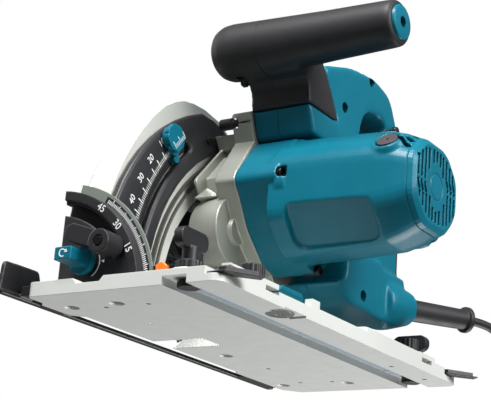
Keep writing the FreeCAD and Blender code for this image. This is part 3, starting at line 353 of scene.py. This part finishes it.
def skin(count, rows):
    """Faces over rings of equal count, end to end, with both ends capped."""
    faces = [tuple(range(count)), tuple(range(rows * count - 1, (rows - 1) * count - 1, -1))]
    for row in range(rows - 1):
        for n in range(count):
            m = (n + 1) % count
            faces.append((row * count + n, row * count + m, (row + 1) * count + m, (row + 1) * count + n))
    return faces


def prism(outline, axis, low, high):
    verts = [on_axis(axis, u, v, station) for station in (low, high) for u, v in outline]
    return build(verts, skin(len(outline), 2))


def circle(centre, radius, count=48):
    turns = [2 * math.pi * n / count for n in range(count)]
    return [(centre[0] + radius * math.cos(turn), centre[1] + radius * math.sin(turn)) for turn in turns]


def disc(axis, centre, radius, low, high, count=48):
    return prism(circle(centre, radius, count), axis, low, high)


def box_mesh(low, high):
    corners = [(low[0], low[1]), (high[0], low[1]), (high[0], high[1]), (low[0], high[1])]
    return prism(corners, "Z", low[2], high[2])


def soft_outline(points, radius, steps=5):
    """A polygon with its corners rounded."""
    out = []
    for number, spot in enumerate(points):
        here = Vector(spot)
        back = Vector(points[number - 1]) - here
        ahead = Vector(points[(number + 1) % len(points)]) - here
        reach = min(radius, back.length * 0.48, ahead.length * 0.48)
        first, last = here + back.normalized() * reach, here + ahead.normalized() * reach
        for step in range(steps + 1):
            t = step / steps
            out.append(tuple(first * (1 - t) ** 2 + here * 2 * t * (1 - t) + last * t ** 2))
    return out


def arc_sweep(profile, axis, centre, start, end, steps=64):
    """A closed section of (radius, station) carried along an arc, in degrees, with flat ends."""
    verts = []
    for step in range(steps + 1):
        angle = math.radians(start + (end - start) * step / steps)
        for radius, station in profile:
            verts.append(on_axis(axis, centre[0] + radius * math.cos(angle),
                                 centre[1] + radius * math.sin(angle), station))
    return build(verts, skin(len(profile), steps + 1))


def loft(axis, sections):
    """Skins closed outlines of equal count at stations, with capped ends."""
    verts = [on_axis(axis, u, v, station) for station, outline in sections for u, v in outline]
    return build(verts, skin(len(sections[0][1]), len(sections)))


def lathe(profile, start, aim, count=48):
    """Turns a profile of (distance along, radius) about a line."""
    aim = Vector(aim).normalized()
    side = aim.orthogonal().normalized()
    other = aim.cross(side)
    verts = []
    for along, radius in profile:
        middle = Vector(start) + aim * along
        for n in range(count):
            turn = 2 * math.pi * n / count
            verts.append(middle + (side * math.cos(turn) + other * math.sin(turn)) * radius)
    return build(verts, skin(count, len(profile)))


def lettering(words, size, axis, centre, station, turn=0, height=0.12, way=1):
    """Raised generic numbers, flat on a plane and turned about its normal."""
    text = bpy.data.curves.new("figures", "FONT")
    text.body = words
    text.size = size * MM
    text.align_x = "CENTER"
    text.align_y = "CENTER"
    text.extrude = height * MM
    mesh = settled(loose("figures", text))
    lean = Matrix.Rotation(math.radians(turn), 4, "Z")
    if axis == "X":
        stand = Matrix(((0, 0, way, 0), (way, 0, 0, 0), (0, 1, 0, 0), (0, 0, 0, 1)))
    else:
        stand = Matrix(((1, 0, 0, 0), (0, 0, -1, 0), (0, 1, 0, 0), (0, 0, 0, 1)))
    place = Matrix.Translation(Vector(on_axis(axis, *centre, station)) * MM)
    mesh.transform(place @ stand @ lean)
    return mesh


def bar_mesh(axis, first, last, wide, low, high):
    """A straight mark between two in-plane points."""
    first, last = Vector(first), Vector(last)
    across = (last - first).normalized() * (wide / 2)
    across = Vector((-across.y, across.x))
    outline = [tuple(first - across), tuple(last - across), tuple(last + across), tuple(first + across)]
    return prism(outline, axis, low, high)


def polar(centre, radius, angle):
    turn = math.radians(angle)
    return centre[0] + radius * math.cos(turn), centre[1] + radius * math.sin(turn)


# ---------------------------------------------------------------- the cord

def make_cord():
    """A 2.5 m mains cord: down from the guard to the floor, then wound in three layers of three turns."""
    route = [(62, 219.5, 66), (71, 238.4, 66.9), (79.7, 256, 57.2), (87.8, 270, 41), (96, 284, 24),
             (106, 298, 10.5), (115, 309.5, 4.4)]
    centre, start, per_turn = (165, 300), 150, 16
    middle, gap, low = 42.6, 7.7, 3.9
    pattern = [(1, 0), (0, 0), (-1, 0), (-1, 1), (0, 1), (1, 1), (1, 2), (0, 2), (-1, 2)]
    sweep = 8.44
    for step in range(int(sweep * per_turn) + 1):
        turns = step / per_turn
        lap = min(int(turns), len(pattern) - 1)
        here, there = pattern[lap], pattern[min(lap + 1, len(pattern) - 1)]
        blend = max(0.0, (turns - lap - 0.7) / 0.3)
        blend = blend * blend * (3 - 2 * blend)
        across = here[0] + (there[0] - here[0]) * blend
        up = here[1] + (there[1] - here[1]) * blend
        angle = math.radians(start - 360 * turns)
        radius = middle + gap * across
        route.append((centre[0] + radius * math.cos(angle), centre[1] + radius * math.sin(angle),
                      low + gap * up))
    last = (157.3, 285)
    for angle in range(325, 179, -15):
        rise = max(0.0, (270 - angle) / 90)
        rise = rise * rise * (3 - 2 * rise)
        spot = polar(last, 35.8, angle)
        route.append((spot[0], spot[1], low + 2 * gap + (31 - low - 2 * gap) * rise))
    route.append((121.5, 289, 31))
    return route


def lay_cord():
    route = make_cord()
    flex = bpy.data.curves.new("mains_cord", "CURVE")
    flex.dimensions = "3D"
    line = flex.splines.new("NURBS")
    line.points.add(len(route) - 1)
    for point, spot in zip(line.points, route):
        point.co = (spot[0] * MM, spot[1] * MM, spot[2] * MM, 1)
    line.order_u = 3
    line.use_endpoint_u = True
    line.resolution_u = 6
    flex.bevel_depth = 3.75 * MM
    flex.bevel_resolution = 5
    flex.use_fill_caps = True
    flex.materials.append(PAINTS["cord_pvc"])
    cord = bpy.data.objects.new("mains_cord", flex)
    bpy.context.scene.collection.objects.link(cord)
    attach(cord, "base")
    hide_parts("cord", "cord_coil")
    plug = add_piece("plug", softened(node_mesh("mains_plug"), 0.8, 10), "base", SLOT_OF["mains_plug"],
                     ["mains_plug"])


# ---------------------------------------------------------------- motor side

def motor_ring(half_wide, half_tall, corner, soft=9):
    """A softened eight-sided section about the motor axis."""
    y, z = MOTOR_MID
    points = [(y - half_wide, z - half_tall + corner), (y - half_wide + corner, z - half_tall),
              (y + half_wide - corner, z - half_tall), (y + half_wide, z - half_tall + corner),
              (y + half_wide, z + half_tall - corner), (y + half_wide - corner, z + half_tall),
              (y - half_wide + corner, z + half_tall), (y - half_wide, z + half_tall - corner)]
    return soft_outline(points, soft, 4)


MOTOR_FLANGE = [(1.5, 161), (61, 161), (61.2, 113), (60, 75), (42.5, 62), (21.5, 68), (-2.5, 89),
                (-15.5, 109), (-25.5, 122), (-23.5, 129)]
SCREWS = ((-19, 125), (44, 66.5))
BRUSH_TURN = 138
BRUSH_X = 103


def facet_cutter(near, far, depth, turn, out, wide, steps=3):
    """A pocket cutter with sloping sides, sunk into a facet that faces away from the motor axis."""
    facing = math.radians(turn)
    normal = Vector((math.cos(facing), math.sin(facing)))
    across = Vector((-normal.y, normal.x))
    rings = []
    for step in range(steps + 1):
        share = step / steps
        inset = depth * 1.3 * share
        level = out + 6 - (6 + depth) * share
        low, high = near + inset * 0.2, far - inset
        half = wide / 2 - inset * 0.6
        outline = soft_outline([(low, -half), (high, -half), (high, half), (low, half)], 11, 5)
        rings.append([(x, *(Vector(MOTOR_MID) + normal * level + across * v)) for x, v in outline])
    return build([vert for ring in rings for vert in ring], skin(len(rings[0]), len(rings)))


def outward(turn):
    """The direction away from the motor axis at an angle in degrees."""
    facing = math.radians(turn)
    return Vector((0, math.cos(facing), math.sin(facing)))


def radial_slot(x, turn, lean, wide, tall, near, far):
    """A capsule-shaped slot cutter along a radius of the motor, leaning in its own plane."""
    normal = outward(turn)
    along = Vector((1, 0, 0))
    across = Vector((0, -normal.z, normal.y))
    tilt = math.radians(lean)
    first = along * math.cos(tilt) + across * math.sin(tilt)
    second = across * math.cos(tilt) - along * math.sin(tilt)
    middle = Vector((x, *MOTOR_MID))
    outline = soft_outline([(-tall / 2, -wide / 2), (tall / 2, -wide / 2), (tall / 2, wide / 2),
                            (-tall / 2, wide / 2)], wide / 2, 4)
    verts = [middle + normal * reach + first * u + second * v for reach in (near, far) for u, v in outline]
    return build(verts, skin(len(outline), 2))


def make_motor():
    """The motor housing: flange, tapering eight-sided body, brush bosses, panel recess and side vents."""
    flange = prism(soft_outline(MOTOR_FLANGE, 7, 5), "X", -18, 18)
    body = loft("X", [(10, motor_ring(41.4, 46, 24)), (60, motor_ring(40.5, 45, 23)),
                      (98, motor_ring(39.4, 43, 22)), (111, motor_ring(38, 39, 20)),
                      (122, motor_ring(36, 34, 18))])
    brow = [(-24, 116), (-9, 90), (4, 90), (10, 150), (4, 161), (-20, 133)]
    step_brow = prism(soft_outline(brow, 5, 4), "X", 16, 24)
    bosses = []
    for way in (0, 180):
        aim = outward(BRUSH_TURN + way)
        start = Vector((BRUSH_X, *MOTOR_MID)) + aim * 20
        bosses.append(lathe([(0, 15), (20, 13.5), (23.2, 11.6)], start, aim, 40))
    shell = boolean(body, [flange, step_brow] + bosses, "UNION")
    cutters = [facet_cutter(24, 100, 4.2, 222, 43.4, 45)]
    for spot in SCREWS:
        cutters.append(disc("X", spot, 4.6, 8, 25, 32))
    for way in (0, 180):
        aim = outward(BRUSH_TURN + way)
        start = Vector((BRUSH_X, *MOTOR_MID)) + aim * 30
        cutters.append(lathe([(0, 8.9), (30, 8.9)], start, aim, 40))
    for turn in (139, 127, 115, 103, 300, 312):
        cutters.append(radial_slot(116, turn, 38, 3.6, 12, 27, 60))
    cutters.append(lathe([(0, 33), (84, 33), (92, 28), (140, 28)], (20, *MOTOR_MID), (1, 0, 0), 48))
    cutters.append(lathe([(-2, 29.5), (46, 29.5)], (-20, *MOTOR_MID), (1, 0, 0), 48))
    shell = boolean(shell, cutters)
    shell = softened(shell, 0.85, 7)
    add_piece("motor_shell", shell, "plunge_unit", "teal_plastic", ["motor_housing"])


def make_vent_cover():
    """The end cover with its stepped slots about a blank round badge, and a near-black disc of painted shade
    behind them.
    """
    plate = loft("X", [(121.8, motor_ring(36, 34, 18, 8)), (125.5, motor_ring(34.8, 32.5, 17, 8)),
                       (128, motor_ring(32, 29, 16, 7))])
    y, z = MOTOR_MID
    cutters = []
    wide, low_x, high_x = 2.9, 123.2, 132
    for column, (low, high) in enumerate(((-15, 17), (-20, 21), (-24, 24.5), (-26, 26))):
        offset = 27.5 - column * 5.4
        for way in (-1, 1):
            for side in (-1, 1):
                reach = high if side > 0 else -low
                far = (y + way * (offset - (1.2 if side * way > 0 else -1.2)), z + side * reach)
                knee = (far[0], z + side * 9.5)
                turn = (y + way * (offset + 1.6), z + side * 4.2)
                near = (turn[0], z + side * 0.9)
                for first, last in ((far, knee), (knee, turn), (turn, near)):
                    if column == 3 and last is not knee:
                        continue
                    cutters.append(bar_mesh("X", first, last, wide, low_x, high_x))
    for column in range(-1, 2):
        for side in (-1, 1):
            first = (y + column * 5.4, z + side * 27)
            last = (y + column * 5.4, z + side * (16.5 if column else 18.5))
            cutters.append(bar_mesh("X", first, last, wide, low_x, high_x))
    groove = boolean(disc("X", MOTOR_MID, 10.4, 127.2, 130, 40), [disc("X", MOTOR_MID, 9.4, 127, 131, 40)])
    cutters.append(groove)
    plate = boolean(plate, [joined(cutters)], crossing=True)
    add_piece("vent_plate", softened(plate, 0.36, 3), "plunge_unit", "teal_plastic", ["vent_cover"])
    # A near-black disc just under the slot floors: painted shade seen through the vent slots.
    dark = disc("X", MOTOR_MID, 30, 122.6, 123.4, 40)
    add_piece("vent_shadow", dark, "plunge_unit", "black_plastic", (), PAINTED_SHADE_BLACK)


# ---------------------------------------------------------------- handles

HANDLE = [(36, 183.2), (21.5, 205), (9, 221), (53.5, 236), (91.5, 241), (119.5, 235), (134.5, 210),
          (147.5, 170), (157.5, 120), (159.5, 75), (151.5, 48), (129.5, 44), (69.5, 46), (46, 60.5),
          (61.6, 62.5), (61.6, 161.5), (36, 161.5)]
OPENING = [(71.5, 102), (90, 91), (121, 93), (124, 150), (119.5, 200), (108, 213), (80, 208), (71.5, 190)]
HANDLE_SCREWS = ((44.5, 198), (86, 235), (89, 57), (128, 199))
GUARD_FROM = Vector((22, 135.5, 62))
GUARD_TO = Vector((62, 219.5, 66))


def make_handle():
    """The D handle: two halves, the collar, the cord guard's boss, and the rubber on its back."""
    body = prism(soft_outline(HANDLE, 9, 4), "X", -14, 34)
    collar = prism([(1.2, 161.2), (35.9, 161.2), (37, 172), (35.9, 183), (-8.4, 183)], "X", -18, 34)
    aim = (GUARD_TO - GUARD_FROM).normalized()
    boss = lathe([(0, 21), (10, 20), (22, 16.5), (30, 14.2), (33, 13.4)], GUARD_FROM - aim * 2, aim, 40)
    body = boolean(body, [collar, boss], "UNION")
    window = prism(soft_outline(OPENING, 12, 5), "X", -40, 60)
    back = soft_outline([(118, 88), (170, 88), (170, 206), (114, 206), (118, 150)], 8, 4)
    waist = [prism(back, "X", low, high) for low, high in ((-40, -7), (27, 60))]
    body = boolean(body, [window] + waist)
    body = softened(body, 1.5, 26)
    cutters = [disc("X", spot, 4.6, 24, 60, 28) for spot in HANDLE_SCREWS]
    cutters += [disc("X", spot, 4.0, -30, -9, 28) for spot in HANDLE_SCREWS]
    cutters.append(disc("X", (106, 226), 13, 5.5, 12.5, 40))
    cutters.append(disc("X", (127.5, 207), 4.1, 20, 60, 28))
    cutters.append(box_mesh((2.6, 108, 148), (17.4, 136, 193)))
    cutters.append(lathe([(0, 10.4), (160, 10.4)], GUARD_FROM - aim * 2, aim, 36))
    cutters.append(box_mesh((-30, 13, 168.5), (4.5, 24, 172.5)))
    body = boolean(body, cutters)
    strip = prism([(131.5, 205.9), (144, 169), (153.2, 120), (154.2, 88.1), (190, 88.1), (190, 205.9)], "X",
                  -6.9, 26.9)
    notch = prism([(131.3, 206.2), (143.6, 169), (152.8, 120), (153.8, 87.8), (190, 87.8), (190, 206.2)], "X",
                  -7.2, 27.2)
    rubber = boolean(body.copy(), [strip], "INTERSECT")
    add_piece("grip_skin", rubber, "plunge_unit", "black_rubber", ["rear_grip_rubber"])
    body = boolean(body, [notch])
    left = boolean(body.copy(), [box_mesh((-60, -60, 0), (3.8, 260, 300))], "INTERSECT")
    right = boolean(body, [box_mesh((4.1, -60, 0), (90, 260, 300))], "INTERSECT")
    add_piece("handle_half_left", left, "plunge_unit", "teal_plastic", ["handle_left"])
    add_piece("handle_half_right", right, "plunge_unit", "teal_plastic", ["handle_right"])


def make_front_grip():
    """The round front grip in two halves, flared down to the collar, with its end cap."""
    grip = (-25.5, 226)
    profile = [(0, 10), (1.5, 15.5), (5, 19.5), (11, 22), (18, 22.6), (44, 21.4), (100, 19), (150, 17.6),
               (154.5, 17.2), (156.5, 15.6)]
    body = lathe(profile, (-40, *grip), (1, 0, 0), 56)
    neck = [(-40, 212), (-25, 203.6), (-15.8, 202), (-11.4, 197), (-9, 183.2), (35.8, 183.2), (21.3, 205),
            (8.8, 221), (-6, 236), (-24, 240)]
    flare = prism(neck, "X", -18, 34)
    body = softened(boolean(body, [flare], "UNION"), 1.2, 9)
    lug = prism([(-24, 207), (-21.4, 200.4), (-17, 200), (-14, 204.5)], "X", -21.5, -17.2)
    body = boolean(body, [rounded(lug, 0.6, 2)], "UNION")
    body = boolean(body, [disc("X", grip, 13.6, 114.6, 130, 40), disc("X", grip, 4.5, 48, 130, 28),
                          box_mesh((-21, -30, 203.6), (-15.5, -16, 205.2))])
    left = boolean(body.copy(), [box_mesh((-60, -100, 100), (3.85, 100, 300))], "INTERSECT")
    right = boolean(body, [box_mesh((4.1, -100, 100), (130, 100, 300))], "INTERSECT")
    add_piece("grip_half_left", left, "plunge_unit", "black_rubber", ["front_grip_left"])
    add_piece("grip_half_right", right, "plunge_unit", "black_rubber", ["front_grip_right"])
    cap = boolean(lathe([(0, 13.3), (2.2, 13.3), (3.4, 12.7), (4, 11.4)], (115, *grip), (1, 0, 0), 48),
                  [disc("X", grip, 4.3, 110, 125, 28)])
    add_piece("grip_end", cap, "plunge_unit", "teal_plastic", ["grip_cap"])


# ---------------------------------------------------------------- castings and case

def make_gear_case():
    """The casting's outer rib stands off the flange, with a channel, a cross arm and a gusset between."""
    body = node_mesh("gear_housing")
    edge = [(6, 163), (-29.6, 124.3), (-19.5, 112.8), (-12, 103), (4, 98), (24, 120), (26, 163)]
    rib = prism(soft_outline(edge, 3, 3), "X", -53, -50.4)
    bed = [(12, 161), (-15, 130), (-13, 118), (-6, 108), (6, 104), (24, 120), (26, 161)]
    floor = prism(bed, "X", -51, -34)
    arm = prism([(-3.6, 169.2), (2.8, 159.2), (26, 159.2), (26, 169.2)], "X", -54, -34)
    gusset = build([(-51, -28.5, 110.5), (-40, -9, 117), (-51, -9, 117), (-51, -12.4, 124.8), (-40, -8, 121),
                    (-51, -6, 110)],
                   [(0, 1, 4, 3), (0, 5, 1), (0, 3, 2, 5), (1, 5, 2), (1, 2, 4), (2, 3, 4)])
    spindle = (ARBOR.y / MM, ARBOR.z / MM)
    plug = boolean(disc("X", spindle, 10.6, -30.4, -26.6, 40), [disc("X", spindle, 9.05, -32, -27.8, 40)])
    body = boolean(body, [rib, floor, arm, plug], "UNION")
    pockets = [prism(soft_outline([(36, 120), (54, 116), (56, 152), (40, 154)], 4, 3), "X", -45, -32)]
    body = softened(boolean(body, pockets), 0.55, 6)
    body = boolean(body, [disc("X", (-5, 177), 3.4, -60, -19, 32)])
    add_piece("gear_casting", body, "plunge_unit", "cast_gear", ["gear_housing"])
    add_piece("casting_gusset", rounded(gusset, 0.3, 1), "plunge_unit", "cast_gear")


def case_outline(inset, low=19):
    """The blade case seen from the side: an arc about the plunge pivot, then down the rear."""
    reach = 197 - inset
    start = math.degrees(math.asin((low - PIVOT_AT[1]) / reach))
    front = [polar(PIVOT_AT, reach, 180 - (start + (47 - start) * step / 28)) for step in range(29)]
    rear = [(-46 + inset / 3, 184.2 - inset), (-35.5 + inset / 4, 188.6 - inset), (-23, 190.8 - inset),
            (-8, 191.3 - inset), (14 - inset / 3, 188 - inset), (44.5 - inset * 0.75, 173 - inset * 0.75),
            (74.5 - inset, 140 - inset / 3), (90.5 - inset, 100), (93.5 - inset, 60), (93.5 - inset, low)]
    return front + rear


def make_case():
    """The cover has a rounded shoulder towards the blade side, and the case a stepped seam."""
    shoulder = [(-91, 7), (-90.6, 4.6), (-89.6, 2.6), (-88, 1.1), (-86.4, 0.4), (-85.3, 0.1)]
    cover = loft("X", [(x, case_outline(inset)) for x, inset in shoulder])
    cover = boolean(cover, [prism(case_outline(7.5, 9), "X", -88.2, -80)])
    add_piece("cover_shell", rounded(cover, 0.3, 1, 50), "tilt_frame", "cast_case", ["case_cover"])
    case = node_mesh("blade_case")
    seam = loft("X", [(-84.9, case_outline(-1.2)), (-84.0, case_outline(-1.2))])
    seam = boolean(seam, [prism(case_outline(0.7), "X", -90, -80)])
    ribs = [arc_sweep([(r - 1.1, -64), (r + 1.1, -64), (r + 0.8, top), (r - 0.8, top)], "X", PIVOT_AT,
                      119, 186, 48)
            for r, top in ((124.5, -60.2), (130, -60.8), (136.5, -59.6))]
    case = boolean(case, [seam])
    # The ribs and this thin annulus under them get the dark casting paint: painted shade over the ring grooves,
    # not a colour of the case.
    ring = arc_sweep([(119.8, -63.1), (145.4, -63.1), (145.4, -62.8), (119.8, -62.8)], "X", PIVOT_AT,
                     118, 186, 48)
    add_piece("case_rings", boolean(ring, ribs, "UNION"), "tilt_frame", "cast_case", (), PAINTED_SHADE_CAST)
    add_piece("case_shell", rounded(case, 0.35, 1, 50), "tilt_frame", "cast_case", ["blade_case"])


DEGREES_PER_MM = 0.635


def make_depth_scale():
    """The black scale plate with its bevelled rim, and the white depth comb beside the slot."""
    body = rounded(node_mesh("depth_plate"), 2.6, 3, 40)
    add_piece("scale_plate", body, "tilt_frame", "black_plastic", ["depth_plate"])
    # A near-black strip down the depth slot: painted shade inside the slot, covering the case face there.
    dark = arc_sweep([(157.8, -62.6), (165.2, -62.6), (165.2, -62), (157.8, -62)], "X", PIVOT_AT,
                     132.4, 180, 60)
    add_piece("slot_shadow", dark, "tilt_frame", "black_plastic", (), PAINTED_SHADE_BLACK)
    marks = []
    face = -56.02
    for depth in range(3, 56):
        turn = 180 - (45.4 - DEGREES_PER_MM * depth)
        reach = 175.4 if depth % 5 == 0 else 172.2
        wide = 0.75 if depth % 5 == 0 else 0.42
        marks.append(bar_mesh("X", polar(PIVOT_AT, 168.8, turn), polar(PIVOT_AT, reach, turn), wide,
                              face, face + 0.16))
        if depth % 10 == 0:
            marks.append(lettering(str(depth), 7.4, "X", polar(PIVOT_AT, 181.0, turn + 1.6), face,
                                   turn - 90))
    add_piece("depth_figures", joined(marks), "tilt_frame", "black_plastic", (), WHITE_INK)
    face = -48.5
    marks = []
    for step in range(9):
        turn = 180 - (38.6 + step * 0.62)
        reach = 178.5 if step % 4 == 0 else 175.5
        marks.append(bar_mesh("X", polar(PIVOT_AT, 172.5, turn), polar(PIVOT_AT, reach, turn), 0.55,
                              face, face + 0.15))
    add_piece("knob_ticks", joined(marks), "depth_clamp", "teal_plastic", (), WHITE_INK)


# ---------------------------------------------------------------- bevel quadrant and small controls

def make_quadrant():
    """The front bevel quadrant with its raised numbers, degree band and stop marks."""
    body = node_mesh("front_quadrant")
    axis = (BEVEL.x / MM, BEVEL.z / MM)
    add_piece("quadrant_front", softened(body, 0.55, 6), "base", "black_plastic", ["front_quadrant"])
    marks = []
    face = -152.55
    for angle, words in ((56, "45"), (41, "30"), (26, "15")):
        marks.append(lettering(words, 7.2, "Y", polar(axis, 76.6, angle), face, angle - 90))
    plate = -144.75
    backing = arc_sweep([(80.2, -144.6), (84.9, -144.6), (84.9, -144.7), (80.2, -144.7)], "Y", axis,
                        10, 61, 48)
    add_piece("scale_band", backing, "base", "black_plastic")
    for degree in range(0, 49):
        angle = 11 + degree
        reach = 85.2 if degree % 15 == 0 else 84.3 if degree % 5 == 0 else 83.2
        marks.append(bar_mesh("Y", polar(axis, 80.6, angle), polar(axis, reach, angle), 0.6,
                              plate - 0.1, plate + 0.1))
    knob = (-46, 26.5)
    flat = -150.55
    low, high = flat - 0.1, flat + 0.1
    marks.append(arc_sweep([(11.0, low), (11.6, low), (11.6, high), (11.0, high)], "Y", knob, -60, 150, 48))
    marks.append(lettering("22.5", 4.6, "Y", (-47.5, 41.2), flat))
    marks.append(prism([(-40.5, 42.6), (-38.3, 42.6), (-39.4, 39.8)], "Y", low, high))
    marks.append(prism([(-33.4, 26.5), (-30.8, 25.2), (-30.8, 27.8)], "Y", low, high))
    add_piece("bevel_figures", joined(marks), "base", "black_plastic", (), WHITE_INK)
    sign = arc_sweep([(2.1, -176.15), (2.9, -176.15), (2.9, -175.9), (2.1, -175.9)], "Y", knob, 20, 300, 32)
    tip = prism([(-44.6, 26.7), (-41.8, 26.9), (-43.0, 29.0)], "Y", -176.15, -175.9)
    add_piece("stop_mark", joined([sign, tip]), "positive_stop", "teal_plastic", (), WHITE_INK)


# Voxel size and smoothing rounds for each node.
REMAKES = {
    "stop_knob": (0.45, 9), "front_clamp_lever": (0.5, 12), "rear_clamp_lever": (0.5, 12),
    "release_lever": (0.5, 12), "front_rail_knob": (0.45, 6), "rear_rail_knob": (0.45, 6),
    "front_rule_screw": (0.4, 4), "rear_rule_screw": (0.4, 4), "depth_knob": (0.45, 6),
    "side_skirt": (0.7, 5), "corner_leaves": (0.4, 3), "trigger": (0.6, 12), "slide_lever": (0.5, 6),
    "anti_tip_tongue": (0.5, 4), "bevel_pointer": (0.4, 5), "front_yoke": (0.8, 10), "rear_yoke": (0.8, 10),
    "rear_quadrant": (0.7, 8), "quick_stop_button": (0.4, 5), "brush_caps": (0.4, 4), "dust_port": (0.7, 6),
    "speed_dial": (0.45, 6), "lock_off_button": (0.4, 6), "housing_screws": (0.4, 3), "cord_guard": (0.5, 4),
    "frame_bolts": (0.5, 3), "saw_blade": (0.35, 2), "blade_clamp": (0.5, 3),
}
LEVER_JOINTS = {"front_clamp_lever": "front_clamp_swing", "rear_clamp_lever": "rear_clamp_swing"}


def make_depth_shoe():
    """The shoe under the depth knob: a short tongue down to the nut in the slot."""
    shoe = boolean(disc("X", polar(PIVOT_AT, 178.5, 139.5), 9, -55.7, -53, 40),
                   [disc("X", polar(PIVOT_AT, 171, 139.5), 6.6, -55.7, -53.4, 32),
                    disc("X", polar(PIVOT_AT, 161.5, 139.5), 3.7, -62.6, -56.4, 32),
                    disc("X", polar(PIVOT_AT, 165, 139.5), 2.2, -58, -55, 24)], "UNION")
    add_piece("depth_shoe", softened(shoe, 0.4, 4), "depth_stop", "teal_plastic", ["depth_slider"])


def remake_small_parts():
    """Mouldings and fittings whose CAD edges get their small radii here."""
    for node, (voxel, rounds) in REMAKES.items():
        mesh = softened(node_mesh(node), voxel, rounds)
        if node in LEVER_JOINTS:
            hub = Vector(JOINTS[LEVER_JOINTS[node]]["pos_m"]) / MM
            mesh = boolean(mesh, [disc("Y", (hub.x, hub.z), 4.1, -190, 190, 40)])
        add_piece(f"{node}_formed", mesh, BODY_OF[node], SLOT_OF[node], [node])


make_camera()
make_stage()
lay_cord()
make_motor()
make_vent_cover()
make_handle()
make_front_grip()
make_gear_case()
make_case()
make_depth_scale()
make_depth_shoe()
make_quadrant()
remake_small_parts()


for name, node in NODES.items():
    node.data.materials.clear()
    node.data.materials.append(PAINTS[SLOT_OF[name]])
